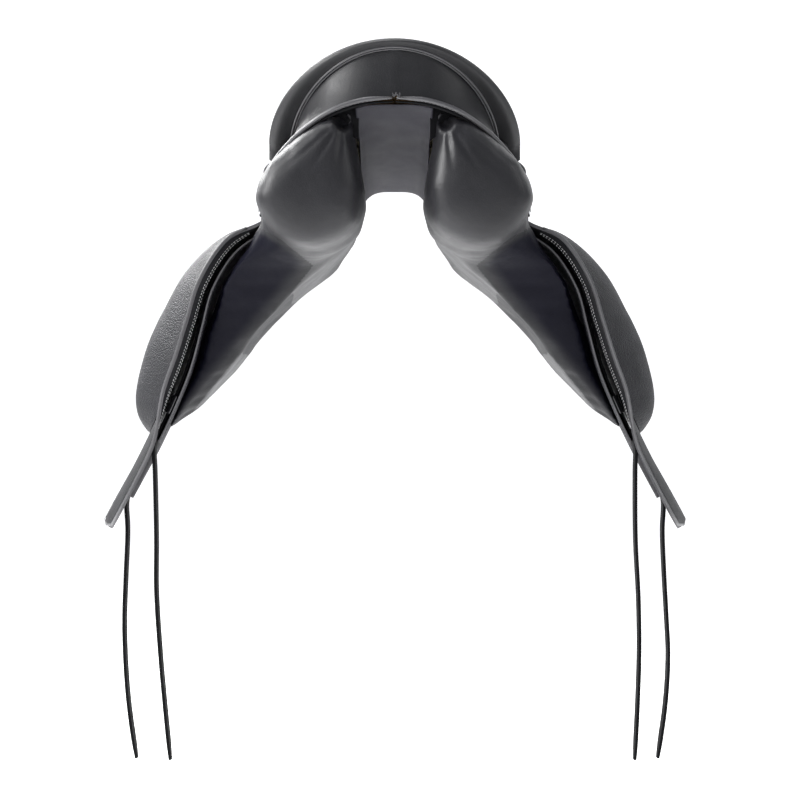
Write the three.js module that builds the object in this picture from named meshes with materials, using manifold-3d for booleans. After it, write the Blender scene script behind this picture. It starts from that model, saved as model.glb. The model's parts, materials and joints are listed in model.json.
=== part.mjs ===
// An English dressage saddle, taken apart as a saddler would: tree, seat, panels, flaps, straps, metalwork.
// Millimetres. +X is the off (right) side, +Y points towards the pommel and +Z is up.
// The origin is on the centre plane, on the roof of the gullet channel at the waist of the seat.

import * as THREE from 'three';
import { mergeVertices } from 'three/addons/utils/BufferGeometryUtils.js';
import Module from 'manifold-3d';

const wasm = await Module();
wasm.setup();

// ---------------------------------------------------------------- driving dimensions

const GAP = 0.4;                  // clearance between touching pieces
const COVER = 2;                  // seat leather
const FOAM_LAYER = [3.2, 11.5];   // depth of each layer below the top of the seat
const WEB_LAYER = [12.8, 13.9];
const CROSS_LAYER = [16.2, 17.3];
const TREE_LAYER = [18.2, 27];
const SPRING_LAYER = [28.2, 30];

const FLAP = 4.5;                 // flap leather
const SWEAT_FLAP = 3;
const BILLET = 4;                 // thickness of a girth strap
const BILLET_WIDTH = 26;
const FLARE = 0.13;               // how far the flaps stand out towards the front, per mm of length
const FLARE_START = -70;
const HINGE_U = 0.137;            // where a flap bends, as a fraction of the flap profile
const HINGE_GAP = 0.0012;

const CHANNEL_HALF = 46;          // half width of the gullet channel
const WELT_RADIUS = 3;
const DEE_WIRE = 1.9;

// Seat: for each station from the cantle seam, over the rim, to the pommel front, the point on the
// centre line and the point at the seat's edge.
const SEAT_CENTRE = [
  [0, -250, 152], [0, -255, 158], [0, -246, 163], [0, -230, 154], [0, -205, 122],
  [0, -165, 84], [0, -110, 58], [0, -50, 46], [0, 10, 47], [0, 70, 62],
  [0, 125, 88], [0, 170, 115], [0, 203, 130], [0, 222, 120], [0, 226, 100],
];
const SEAT_EDGE = [
  [138, -118, 38], [157, -121, 40], [165, -118, 45], [161, -108, 44], [155, -95, 38],
  [146, -75, 31], [136, -50, 27], [124, -15, 24], [112, 25, 26], [100, 70, 34],
  [88, 120, 50], [76, 162, 68], [66, 190, 84], [60, 202, 78], [56, 206, 66],
];
const SEAT_JOIN = 0.53;           // seam across the seat, as a fraction of its length
const SEAT_JOIN_GAP = 0.0004;

// Flap: the outer face seen along the saddle, from under the skirt to the bottom tip.
const FLAP_PROFILE = [
  [118, 0, -2], [147, 0, -26], [176, 0, -50], [222, 0, -83], [255, 0, -133],
  [273, 0, -188], [293, 0, -248], [335, 0, -344], [394, 0, -464],
];
// Rear and front edge of the flap: [fraction of the profile, Y].
const FLAP_REAR = [[0, -88], [0.3, -80], [0.5, -68], [0.7, -46], [0.85, -20], [0.95, 12], [1, 42]];
const FLAP_FRONT = [[0, 160], [0.3, 192], [0.5, 198], [0.7, 184], [0.85, 160], [0.95, 126], [1, 96]];

// Thigh block: height above the flap along its profile, and its rear and front edge.
const BLOCK_HEIGHT = [[0.16, 11], [0.2, 27], [0.36, 46], [0.5, 56], [0.58, 54], [0.67, 40], [0.74, 6]];
const BLOCK_REAR = [[0.16, 40], [0.36, 14], [0.55, 8], [0.74, 52]];
const BLOCK_FRONT = [[0.16, 140], [0.36, 178], [0.55, 184], [0.74, 146]];

// Panel: the face against the horse, from the channel to the lower tip.
const PANEL_INNER = [[44, 0, -62], [108, 0, -115], [180, 0, -176], [251, 0, -266], [306, 0, -325]];
const PANEL_DEPTH_BELOW_FLAP = 24;
const PANEL_SIDES = 16;          // corners of one section

// Girth straps: Y of the centre, fraction of the profile where it leaves the sweat flap, and bottom Z.
const BILLETS = [
  { name: 'rear', y: -14, exit: 0.758, bottom: -782 },
  { name: 'front', y: 78, exit: 0.915, bottom: -796 },
];
const BILLET_START = 0.15;
const BILLET_AIR = 2.4;           // from the bend's axis to the top of the hanging part

const STIRRUP_BAR = { rear: 66, plateRear: 112, front: 148, gap: 7.5, thickness: 8, plate: 4 };
const RIVET_Y = 130;
const RIVET_U = [0.032, 0.086];
const RIVET_SHANK = 2.2;
const BAR_U = 0.06;               // middle of the bar's plate, as a fraction of the flap profile
const BAR_WIDTH = 13;
const BAR_ACROSS = -8;            // the bar lies above the middle of its plate

// Layers under a flap, as distances off its outer face (negative is towards the horse).
const STRAP_LIFT = -6;
const KEEPER_LIFT = -7.4;
const SWEAT_LIFT = -11.4;
const POCKET_LIFT = -14.6;

// Dees: middle of the straight bar, and where the chape that holds it starts.
const DEE_FRONT = { bar: [108, 150, 34], chape: [86, 52] };
const DEE_REAR = { bar: [177, -108, -26], chape: [158, 28] };

const SKIRT_REAR = new THREE.Vector3(156.4, -98, 31);
const SKIRT_FRONT = new THREE.Vector3(95, 112, 46);
const SKIRT = 3;

// ---------------------------------------------------------------- colours

const leather = { color: 0x2d2d31, roughness: 0.5, metalness: 0 };
const softLeather = { color: 0x3a393f, roughness: 0.55, metalness: 0 };
const strapLeather = { color: 0x1c1c1f, roughness: 0.6, metalness: 0 };
const steel = { color: 0xb4b6ba, roughness: 0.3, metalness: 1 };
const springSteel = { color: 0x6a6d73, roughness: 0.45, metalness: 1 };
const beech = { color: 0xb08a5a, roughness: 0.7, metalness: 0 };
const webbing = { color: 0xc9c0a6, roughness: 0.9, metalness: 0 };
const foam = { color: 0xd9d4c4, roughness: 0.95, metalness: 0 };

// ---------------------------------------------------------------- geometry helpers

const vector = (p) => new THREE.Vector3(...p);
const curve = (points) => new THREE.CatmullRomCurve3(points.map(vector));
const mix = THREE.MathUtils.lerp;
const clamp = THREE.MathUtils.clamp;

// Value of a smooth function given by [place, value] pairs.
function along(pairs, place) {
  const last = pairs.length - 1;
  const i = clamp(pairs.findIndex((pair) => pair[0] >= place), 1, last);
  const end = place > pairs[last][0] ? last : i;
  const [a, b] = [pairs[end - 1], pairs[end]];
  const k = clamp((place - a[0]) / (b[0] - a[0]), 0, 1);
  const before = pairs[Math.max(end - 2, 0)][1];
  const after = pairs[Math.min(end + 1, last)][1];
  const slopeA = (b[1] - before) / 2;
  const slopeB = (after - a[1]) / 2;
  const [k2, k3] = [k * k, k * k * k];
  return (2 * k3 - 3 * k2 + 1) * a[1] + (k3 - 2 * k2 + k) * slopeA
    + (3 * k2 - 2 * k3) * b[1] + (k3 - k2) * slopeB;
}

// A closed body from points and triangles, turned so that its faces point out.
function closedBody(points, faces) {
  let volume = 0;
  for (let i = 0; i < faces.length; i += 3) {
    const [a, b, c] = [points[faces[i]], points[faces[i + 1]], points[faces[i + 2]]];
    volume += a.dot(b.clone().cross(c));
  }
  const index = volume < 0 ? faces.slice().reverse() : faces;
  const geometry = new THREE.BufferGeometry();
  geometry.setAttribute('position', new THREE.Float32BufferAttribute(points.flatMap((p) => p.toArray()), 3));
  geometry.setIndex(index);
  return geometry;
}

// A sheet with thickness: outer and inner give its two faces for u and v from 0 to 1.
function sheet(rows, columns, outer, inner) {
  const points = [];
  for (const face of [outer, inner]) {
    for (let i = 0; i <= rows; i++) {
      for (let j = 0; j <= columns; j++) points.push(face(i / rows, j / columns));
    }
  }
  const at = (side, i, j) => (side * (rows + 1) + i) * (columns + 1) + j;
  const faces = [];
  const quad = (a, b, c, d) => faces.push(a, b, c, a, c, d);
  for (let i = 0; i < rows; i++) {
    for (let j = 0; j < columns; j++) {
      quad(at(0, i, j), at(0, i + 1, j), at(0, i + 1, j + 1), at(0, i, j + 1));
      quad(at(1, i, j), at(1, i, j + 1), at(1, i + 1, j + 1), at(1, i + 1, j));
    }
    quad(at(0, i, 0), at(1, i, 0), at(1, i + 1, 0), at(0, i + 1, 0));
    quad(at(0, i, columns), at(0, i + 1, columns), at(1, i + 1, columns), at(1, i, columns));
  }
  for (let j = 0; j < columns; j++) {
    quad(at(0, 0, j), at(0, 0, j + 1), at(1, 0, j + 1), at(1, 0, j));
    quad(at(0, rows, j), at(1, rows, j), at(1, rows, j + 1), at(0, rows, j + 1));
  }
  return closedBody(points, faces);
}

// A body through closed rings of points, ending in caps or, when looped, joined end to end.
function loft(rings, looped = false) {
  const size = rings[0].length;
  const points = rings.flat();
  const faces = [];
  const spans = looped ? rings.length : rings.length - 1;
  for (let i = 0; i < spans; i++) {
    const next = (i + 1) % rings.length;
    for (let j = 0; j < size; j++) {
      const k = (j + 1) % size;
      faces.push(i * size + j, next * size + j, next * size + k);
      faces.push(i * size + j, next * size + k, i * size + k);
    }
  }
  if (!looped) {
    for (const [ring, turned] of [[0, false], [rings.length - 1, true]]) {
      const middle = points.length;
      points.push(rings[ring].reduce((sum, p) => sum.add(p), new THREE.Vector3()).divideScalar(size));
      for (let j = 0; j < size; j++) {
        const [a, b] = [ring * size + j, ring * size + ((j + 1) % size)];
        faces.push(middle, turned ? b : a, turned ? a : b);
      }
    }
  }
  return closedBody(points, faces);
}

function tube(path, radius, steps, sides = 8) {
  const points = [];
  for (let i = 0; i < sides; i++) {
    const angle = (2 * Math.PI * i) / sides;
    points.push(new THREE.Vector2(radius * Math.cos(angle), radius * Math.sin(angle)));
  }
  return new THREE.ExtrudeGeometry(new THREE.Shape(points), { extrudePath: path, steps, bevelEnabled: false });
}

// The same body on the near (left) side.
function mirrored(geometry) {
  const source = geometry.index ? geometry.toNonIndexed() : geometry.clone();
  source.scale(-1, 1, 1);
  const p = source.attributes.position;
  for (let i = 0; i < p.count; i += 3) {
    const [x, y, z] = [p.getX(i), p.getY(i), p.getZ(i)];
    p.setXYZ(i, p.getX(i + 1), p.getY(i + 1), p.getZ(i + 1));
    p.setXYZ(i + 1, x, y, z);
  }
  return source;
}

function solid(geometry) {
  const plain = geometry.clone();
  plain.deleteAttribute('normal');
  plain.deleteAttribute('uv');
  const merged = mergeVertices(plain, 1e-3);
  return new wasm.Manifold(new wasm.Mesh({
    numProp: 3,
    vertProperties: new Float32Array(merged.attributes.position.array),
    triVerts: new Uint32Array(merged.index.array),
  }));
}

function bodyOf(manifold) {
  const mesh = manifold.getMesh();
  const geometry = new THREE.BufferGeometry();
  geometry.setAttribute('position', new THREE.Float32BufferAttribute(mesh.vertProperties, 3));
  geometry.setIndex(Array.from(mesh.triVerts));
  return geometry;
}

const join = (...parts) => bodyOf(parts.map(solid).reduce((a, b) => a.add(b)));
const cut = (geometry, ...tools) => bodyOf(tools.map(solid).reduce((a, b) => a.subtract(b), solid(geometry)));

// ---------------------------------------------------------------- shared surfaces

const seatCentre = curve(SEAT_CENTRE);
const seatEdge = curve(SEAT_EDGE);
const flapProfile = curve(FLAP_PROFILE);
const panelInner = curve(PANEL_INNER);

// Top of the seat. s runs from the cantle seam (0) to the pommel front (1), t from side (-1) to side (1).
function seatTop(s, t) {
  const centre = seatCentre.getPoint(clamp(s, 0, 1));
  const edge = seatEdge.getPoint(clamp(s, 0, 1));
  const angle = clamp(t, -1, 1) * Math.PI / 2;
  const weight = Math.cos(angle);
  const fall = s < 0.2 ? 1.15 : 1;
  return new THREE.Vector3(
    edge.x * Math.sin(angle),
    mix(edge.y, centre.y, weight),
    mix(edge.z, centre.z, weight ** fall),
  );
}

// A point at some depth below the seat's top, square to it.
function seatAt(s, t, depth) {
  const step = 0.004;
  const forward = seatTop(s + step, t).sub(seatTop(s - step, t));
  const sideways = seatTop(s, t + step).sub(seatTop(s, t - step));
  const normal = sideways.cross(forward).normalize();
  return seatTop(s, t).addScaledVector(normal, -depth);
}

// A point off the flap's outer face; lift is outwards. The flap stands out further towards the front.
function flapAt(u, y, lift) {
  const p = flapProfile.getPointAt(clamp(u, 0, 1));
  const tangent = flapProfile.getTangentAt(clamp(u, 0, 1));
  const below = clamp((u - HINGE_U) / (1 - HINGE_U), 0, 1);
  return new THREE.Vector3(
    p.x - tangent.z * lift + FLARE * (y - FLARE_START) * below,
    y,
    p.z + tangent.x * lift,
  );
}

// Roof of the gullet channel: falls from the cantle to the waist and rises again to the pommel.
function roof(y) {
  return y < 0 ? 80 * (-y / 245) ** 1.2 : 58 * (y / 190) ** 1.5;
}

// Where the panel's rear edge is sewn to the seat.
function weltPoint(x) {
  const k = x / 154;
  return new THREE.Vector3(x, -254 + 62 * k ** 3, 87 - 73 * k ** 2.4);
}

// ---------------------------------------------------------------- seat

function layerSheet(rows, columns, [s0, s1], [t0, t1], [top, bottom]) {
  const face = (depth) => (u, v) => seatAt(mix(s0, s1, u), mix(t0, t1, v), depth);
  return sheet(rows, columns, face(top), face(bottom));
}

const seatCoverRear = () => layerSheet(13, 12, [0, SEAT_JOIN - SEAT_JOIN_GAP], [-1, 1], [0, COVER]);
const seatCoverFront = () => layerSheet(11, 12, [SEAT_JOIN + SEAT_JOIN_GAP, 1], [-1, 1], [0, COVER]);
const seatFoam = () => layerSheet(12, 8, [0.27, 0.87], [-0.8, 0.8], FOAM_LAYER);
const longWeb = () => layerSheet(12, 2, [0.31, 0.84], [-0.2, 0.2], WEB_LAYER);
const crossWeb = () => layerSheet(2, 8, [0.42, 0.47], [-0.7, 0.7], CROSS_LAYER);
const headPlate = () => layerSheet(2, 10, [0.785, 0.825], [-0.66, 0.66], CROSS_LAYER);
const gulletPlate = () => layerSheet(2, 10, [0.765, 0.8], [-0.44, 0.44], SPRING_LAYER);
const treeSpring = () => layerSheet(14, 1, [0.33, 0.76], [0.5, 0.58], SPRING_LAYER);

// A point beyond the seam at the foot of the rim, in line with the seat leather.
function pastSeam(t, distance) {
  const seam = seatTop(0, t);
  const run = seam.clone().sub(seatTop(0.03, t)).normalize();
  return seam.addScaledVector(run, distance);
}

// Cantle facing: the crescent between the rim seam and the panel welt, carried round both sides
// to the back of the skirts. Its upper and lower edge are drawn for one half.
const facingTop = new THREE.CatmullRomCurve3([
  ...[0, 0.2, 0.4, 0.6, 0.76, 0.88].map((t) => pastSeam(t, 5.4)),
  vector([140, -138, 41]), vector([142, -116, 33]), vector([138, -94, 27]),
]);
const facingLow = new THREE.CatmullRomCurve3([
  ...[0, 43, 80, 109, 125, 135].map((x) => weltPoint(x).add(new THREE.Vector3(0, 4, WELT_RADIUS + GAP))),
  vector([150, -178, 22]), vector([150, -140, 14]), vector([142, -98, 5]),
]);

function cantleFacing() {
  const face = (depth) => (u, v) => {
    const across = mix(-1, 1, v);
    const k = Math.abs(across);
    const p = facingTop.getPoint(k).lerp(facingLow.getPoint(k), u);
    const turn = clamp((k - 0.5) / 0.3, 0, 1);
    const inward = new THREE.Vector3(-turn, 1 - 0.9 * turn, 0).normalize();
    p.addScaledVector(inward, depth);
    p.x = across < 0 ? -p.x : p.x;
    return p;
  };
  return sheet(3, 26, face(0.4), face(2.6));
}

function cantlePiping() {
  const points = [];
  for (let i = 0; i <= 12; i++) points.push(pastSeam(mix(-0.9, 0.9, i / 12), 3.2));
  return tube(new THREE.CatmullRomCurve3(points), 1.6, 24, 6);
}

// Pommel facing: closes the front of the head under the seat leather.
function pommelFacing() {
  const face = (depth) => (u, v) => {
    const top = seatTop(1, mix(-0.8, 0.8, v));
    const fall = 34 * u;
    return new THREE.Vector3(top.x, top.y - depth - 6 * u, top.z - 3.4 - fall);
  };
  return sheet(2, 10, face(0.5), face(2.7));
}

// ---------------------------------------------------------------- tree

// A loop of four-cornered sections under the seat, wide at the cantle and narrow at the head.
function treeLoop() {
  const steps = 44;
  const soft = (value, power) => Math.sign(value) * Math.abs(value) ** power;
  const [top, bottom] = TREE_LAYER;
  const rings = [];
  for (let i = 0; i < steps; i++) {
    const angle = (2 * Math.PI * i) / steps;
    const [run, across] = [soft(Math.cos(angle), 0.9), soft(Math.sin(angle), 0.42)];
    const place = (length, width, depth) => seatAt(0.565 - length * run, width * across, depth);
    const [outside, inside] = [[0.295, 0.7], [0.235, 0.5]];
    rings.push([place(...outside, top), place(...inside, top), place(...inside, bottom), place(...outside, bottom)]);
  }
  return loft(rings, true);
}

// A point of the tree: the leg that reaches down from the head under the flap.
function treePoint() {
  const line = curve([[64, 0, 46], [80, 0, 36], [96, 0, 14], [112.5, 0, -9], [140, 0, -32], [156, 0, -45]]);
  const half = 3;
  const face = (side) => (u, v) => {
    const p = line.getPointAt(u);
    const tangent = line.getTangentAt(u);
    const y = mix(112, 148, v);
    return new THREE.Vector3(p.x - tangent.z * side, y, p.z + tangent.x * side);
  };
  return sheet(8, 1, face(half), face(-half));
}

// ---------------------------------------------------------------- panels and channel

// The rear cushion seen from behind: twelve points from the channel top outwards and round.
const REAR_CUSHION = [
  [52, 66], [105, 50], [150, 10], [164, -12], [171, -38], [168, -62],
  [155, -82], [130, -95], [104, -94], [80, -86], [58, -73], [43, -50],
];

// One section of the panel below the flap. tip is how far it reaches down: 0 at the channel, 1 at the tip.
function lowerSection(y, top, tip) {
  const outer = (u) => flapAt(u, y, -PANEL_DEPTH_BELOW_FLAP);
  const inner = (k) => panelInner.getPointAt(k).setY(y);
  const last = mix(0.2, 0.695, tip);
  const rim = mix(outer(last).z, inner(tip).z, 0.5);
  return [
    new THREE.Vector3(CHANNEL_HALF + 2.5, y, roof(y) - 12),
    new THREE.Vector3(top[0], y, top[1]),
    outer(0.02),
    outer(mix(0.04, last, 0.3)),
    outer(mix(0.04, last, 0.62)),
    outer(mix(0.04, last, 0.92)),
    new THREE.Vector3(outer(last).x, y, rim),
    inner(tip),
    inner(tip * 0.72),
    inner(tip * 0.45),
    inner(tip * 0.2),
    new THREE.Vector3(CHANNEL_HALF, y, -50 + 0.2 * Math.max(y, 0)),
  ];
}

function rearSection(y, size, drop) {
  const [midX, midZ] = [108, -12];
  return REAR_CUSHION.map(([x, z]) => {
    return new THREE.Vector3(midX + (x - midX) * size, y, midZ + (z - midZ) * size - drop);
  });
}

function panel() {
  const stations = [
    rearSection(-264, 0.35, 0),
    rearSection(-260, 0.66, 0),
    rearSection(-250, 0.86, 0),
    rearSection(-225, 0.98, 0),
    rearSection(-185, 1, 3),
    rearSection(-150, 1, 10),
    lowerSection(-94, [92, 2], 0.2),
    lowerSection(-60, [84, 4], 0.4),
    lowerSection(-20, [78, 3], 0.68),
    lowerSection(25, [76, 4], 0.9),
    lowerSection(65, [74, 10], 1),
    lowerSection(105, [70, 20], 0.97),
    lowerSection(145, [64, 32], 0.8),
    lowerSection(172, [62, 40], 0.55),
  ];
  stations.forEach((ring, i) => {
    ring[0].z = i > 2 ? roof(ring[0].y) - 12 : ring[0].z;
    ring[0].x = i > 2 ? CHANNEL_HALF + 3.5 : ring[0].x;
  });
  const size = stations[0].length;
  const threads = [];
  for (let j = 0; j < size; j++) threads.push(new THREE.CatmullRomCurve3(stations.map((ring) => ring[j])));
  const rings = [];
  const steps = 22;
  for (let i = 0; i <= steps; i++) rings.push(threads.map((thread) => thread.getPoint(i / steps)));
  const rounded = (ring) => new THREE.CatmullRomCurve3(ring, true).getPoints(PANEL_SIDES).slice(0, PANEL_SIDES);
  return loft(rings.map(rounded));
}

function gulletLining() {
  const face = (depth) => (u, v) => {
    const y = mix(-248, 176, u);
    const across = mix(-1, 1, v);
    const half = CHANNEL_HALF + (y < -200 ? 3 : 0);
    const sag = y < 0 ? mix(18, 5, -y / 248) : 18;
    return new THREE.Vector3(across * (half - depth), y, roof(y) - 2 - depth - sag * across ** 4);
  };
  return sheet(12, 8, face(0), face(2));
}

function panelWelt() {
  const points = [weltPoint(3), weltPoint(40), weltPoint(80), weltPoint(118), weltPoint(140), weltPoint(153)];
  points.push(new THREE.Vector3(172, -180, -20), new THREE.Vector3(179, -158, -46));
  return tube(new THREE.CatmullRomCurve3(points), WELT_RADIUS, 18, 6);
}

// ---------------------------------------------------------------- flaps, blocks, straps

function flapSheet(rows, columns, [u0, u1], [rear, front], [outer, inner]) {
  const face = (lift) => (a, b) => {
    const u = mix(u0, u1, a);
    return flapAt(u, mix(rear(u), front(u), b), lift);
  };
  return sheet(rows, columns, face(outer), face(inner));
}

const flapRear = (u) => along(FLAP_REAR, u);
const flapFront = (u) => along(FLAP_FRONT, u);

function flapTop() {
  return flapSheet(4, 6, [0, HINGE_U - HINGE_GAP], [flapRear, flapFront], [0, -FLAP]);
}

function flap() {
  return flapSheet(16, 6, [HINGE_U + HINGE_GAP, 1], [flapRear, flapFront], [0, -FLAP]);
}

function thighBlock() {
  const surface = (height) => (a, b) => {
    const u = mix(0.16, 0.74, a);
    const y = mix(along(BLOCK_REAR, u), along(BLOCK_FRONT, u), b);
    const crown = Math.sin(Math.PI * b ** 1.35) ** 0.7;
    return flapAt(u, y, 1.3 + height * (1 + along(BLOCK_HEIGHT, u) * crown));
  };
  return sheet(10, 6, surface(1), surface(0));
}

// How far the sweat flap hangs clear of the flap, and the straps between them.
const hang = (u) => 5 * THREE.MathUtils.smoothstep(u, 0.35, 0.6);
const sweatBottom = (b) => {
  return 0.75 + 0.16 * THREE.MathUtils.smoothstep(b, 0.22, 0.6) - 0.2 * Math.max(b - 0.75, 0);
};

function sweatFlap() {
  const face = (depth) => (a, b) => {
    const u = mix(HINGE_U + HINGE_GAP, sweatBottom(b), a);
    const y = mix(flapRear(u) + 8, flapFront(u) - 14, b);
    return flapAt(u, y, SWEAT_LIFT - hang(u) - depth);
  };
  return sheet(14, 6, face(0), face(SWEAT_FLAP));
}

function billetKeeper() {
  const face = (depth) => (a, b) => {
    const u = mix(0.63, 0.675, a);
    const y = mix(-44, 110, b);
    const end = Math.abs(2 * b - 1) ** 16;
    return flapAt(u, y, KEEPER_LIFT - 6 * end - depth);
  };
  return sheet(1, 12, face(0), face(1.2));
}

const strapLift = (u) => STRAP_LIFT - 0.9 * hang(u);

function upperBillet({ y, exit }) {
  const face = (depth) => (a, b) => {
    const u = mix(BILLET_START, exit, a);
    return flapAt(u, y + (b - 0.5) * BILLET_WIDTH, strapLift(u) - depth);
  };
  return sheet(12, 1, face(0), face(BILLET));
}

// The axis about which the hanging part of a strap swings.
function billetAxis({ y, exit }) {
  const middle = flapAt(exit, y, strapLift(exit) - BILLET / 2);
  middle.z -= 1.4;
  return middle;
}

function lowerBillet(billet) {
  const axis = billetAxis(billet);
  const top = axis.z - BILLET_AIR;
  const taper = 30;
  const outline = new THREE.Shape();
  const half = BILLET_WIDTH / 2;
  outline.moveTo(-half, top);
  outline.lineTo(-half, billet.bottom + taper);
  outline.lineTo(-5, billet.bottom);
  outline.lineTo(5, billet.bottom);
  outline.lineTo(half, billet.bottom + taper);
  outline.lineTo(half, top);
  const geometry = new THREE.ExtrudeGeometry(outline, { depth: BILLET, bevelEnabled: false });
  geometry.rotateX(Math.PI / 2);
  geometry.rotateZ(Math.PI / 2);
  geometry.translate(axis.x - BILLET / 2, axis.y, 0);
  return geometry;
}

// A web over the tree that carries the straps: across the seat, then down under the flap on each side.
function girthWeb(s0, s1) {
  const seatReach = 0.8;
  const legLength = 0.42;
  const face = (index) => (u, v) => {
    const s = mix(s0, s1, v);
    const signed = mix(-1 - legLength, 1 + legLength, u);
    const k = Math.abs(signed);
    const flip = Math.sign(signed) || 1;
    if (k <= 1) return seatAt(s, flip * k * seatReach, CROSS_LAYER[index]);
    const y = seatAt(s, seatReach, CROSS_LAYER[0]).y;
    const down = (k - 1) / legLength;
    const p = flapAt(mix(0, 0.128, down), y, STRAP_LIFT - 6.5 * (1 - down) ** 3 - 1.2 * index);
    p.x *= flip;
    return p;
  };
  return sheet(30, 1, face(0), face(1));
}

// ---------------------------------------------------------------- skirt

function skirt() {
  const drop = (k) => 0.5 + 0.5 * Math.sin(Math.PI * clamp(0.06 + 0.86 * k, 0, 1)) ** 0.7;
  const face = (depth) => (a, b) => {
    const top = SKIRT_REAR.clone().lerp(SKIRT_FRONT, b);
    const low = new THREE.Vector3(171 + 5 * b, top.y, -25 + 9 * b);
    const p = top.clone().lerp(low, a * drop(b));
    const out = new THREE.Vector3(-(low.z - top.z), 0, low.x - top.x).normalize();
    const belly = 13 * Math.sin(Math.PI * a);
    return p.addScaledVector(out, belly - depth);
  };
  return sheet(6, 10, face(0), face(SKIRT));
}

// ---------------------------------------------------------------- metalwork

// Frame on the flat top of the flap: origin at profile fraction u, x across the slope, z square to it.
function onFlapTop(geometry, u, y, lift) {
  const origin = flapAt(u, y, lift);
  const tangent = flapProfile.getTangentAt(u);
  const across = new THREE.Vector3(tangent.x, 0, tangent.z);
  const normal = new THREE.Vector3(-tangent.z, 0, tangent.x);
  const basis = new THREE.Matrix4().makeBasis(across, new THREE.Vector3(0, 1, 0), normal);
  return geometry.applyMatrix4(basis.setPosition(origin));
}

function box(width, length, height, x, y, z) {
  return new THREE.BoxGeometry(width, length, height).translate(x, y, z);
}

function rivet(u) {
  const profile = [[0, -15], [RIVET_SHANK, -15], [RIVET_SHANK, 0], [4.6, 0], [3.8, 1.5], [2, 2.4], [0, 2.6]];
  const geometry = new THREE.LatheGeometry(profile.map(([r, h]) => new THREE.Vector2(r, h)), 10);
  return onFlapTop(geometry.rotateX(Math.PI / 2), u, RIVET_Y, STIRRUP_BAR.plate + 1.4);
}

function rivetHole(u) {
  const geometry = new THREE.CylinderGeometry(RIVET_SHANK + GAP, RIVET_SHANK + GAP, 60, 10).rotateX(Math.PI / 2);
  return onFlapTop(geometry, u, RIVET_Y, 0);
}

// Stirrup bar: a plate riveted through the flap to the tree point, and a raised bar running back.
function stirrupBar() {
  const { rear, plateRear, front, gap, thickness, plate } = STIRRUP_BAR;
  const plateBody = box(44, front - plateRear, plate, 0, (front + plateRear) / 2, plate / 2);
  const rise = gap + thickness;
  const post = box(BAR_WIDTH, 12, rise, BAR_ACROSS, plateRear + 6, rise / 2);
  const armLength = plateRear + 2 - rear;
  const arm = box(BAR_WIDTH, armLength, thickness, BAR_ACROSS, rear + armLength / 2, gap + thickness / 2);
  const body = join(plateBody, post, arm);
  return cut(onFlapTop(body, BAR_U, 0, 1), ...RIVET_U.map(rivetHole));
}

// The thumb catch at the open end of the stirrup bar, turning about an axis across the bar.
function catchAxis() {
  const { rear, gap, thickness } = STIRRUP_BAR;
  return [rear - 0.5 - thickness / 2, gap + thickness / 2];
}

function stirrupBarCatch() {
  const radius = STIRRUP_BAR.thickness / 2;
  const shape = new THREE.Shape();
  shape.absarc(0, 0, radius, -Math.PI / 2, Math.PI / 2);
  shape.lineTo(-13, 2.2);
  shape.lineTo(-13, -1.5);
  const geometry = new THREE.ExtrudeGeometry(shape, { depth: 11, bevelEnabled: false, curveSegments: 5 });
  geometry.applyMatrix4(new THREE.Matrix4().makeBasis(
    new THREE.Vector3(0, 1, 0),
    new THREE.Vector3(0, 0, 1),
    new THREE.Vector3(1, 0, 0),
  ));
  const [y, z] = catchAxis();
  geometry.translate(BAR_ACROSS - 5.5, y, z);
  return onFlapTop(geometry, BAR_U, 0, 1);
}

// A dee: a straight bar along Y with a half-round bow below it.
function dee({ bar: [x, y, z] }) {
  const outline = [[-10, 0], [-3.4, 0], [3.4, 0], [10, 0], [11, -8], [7, -17], [0, -20.5], [-7, -17], [-11, -8]];
  const line = new THREE.CatmullRomCurve3(outline.map(([dy, dz]) => new THREE.Vector3(x, y + dy, z + dz)), true);
  const rings = [];
  const steps = 18;
  for (let i = 0; i < steps; i++) {
    const centre = line.getPointAt(i / steps);
    const tangent = line.getTangentAt(i / steps);
    const side = new THREE.Vector3(1, 0, 0);
    const other = tangent.clone().cross(side).normalize();
    const ring = [];
    for (let j = 0; j < 6; j++) {
      const angle = (2 * Math.PI * j) / 6;
      ring.push(centre.clone().addScaledVector(side, DEE_WIRE * Math.cos(angle))
        .addScaledVector(other, DEE_WIRE * Math.sin(angle)));
    }
    rings.push(ring);
  }
  return loft(rings, true);
}

// The leather chape of a dee: a strap with an eye around the dee's bar.
function chape({ bar: [x, y, z], chape: start }) {
  const eye = 5.2;
  const hole = 3;
  const away = Math.atan2(start[1] - z, start[0] - x);
  const length = Math.hypot(start[0] - x, start[1] - z);
  const open = 0.32;
  const shape = new THREE.Shape();
  shape.absarc(0, 0, eye, open, 2 * Math.PI - open);
  shape.lineTo(length, -1.6);
  shape.lineTo(length, 1.6);
  shape.holes.push(new THREE.Path().absarc(0, 0, hole, 0, 2 * Math.PI));
  const geometry = new THREE.ExtrudeGeometry(shape, { depth: 12, bevelEnabled: false, curveSegments: 6 });
  geometry.translate(0, 0, -6);
  geometry.rotateX(Math.PI / 2);
  geometry.rotateY(-away);
  return geometry.translate(x, y, z);
}

function saddleNail() {
  const profile = [[0, -1], [2, -1], [2, 0], [6, 0], [5, 1.8], [2.6, 3], [0, 3.3]];
  const geometry = new THREE.LatheGeometry(profile.map(([r, h]) => new THREE.Vector2(r, h)), 10);
  const [s, t] = [0.76, 0.93];
  const base = seatAt(s, t, -1.6);
  const normal = seatAt(s, t, -2).sub(seatAt(s, t, 0)).normalize();
  geometry.applyQuaternion(new THREE.Quaternion().setFromUnitVectors(new THREE.Vector3(0, 1, 0), normal));
  return geometry.translate(base.x, base.y, base.z);
}

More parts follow.
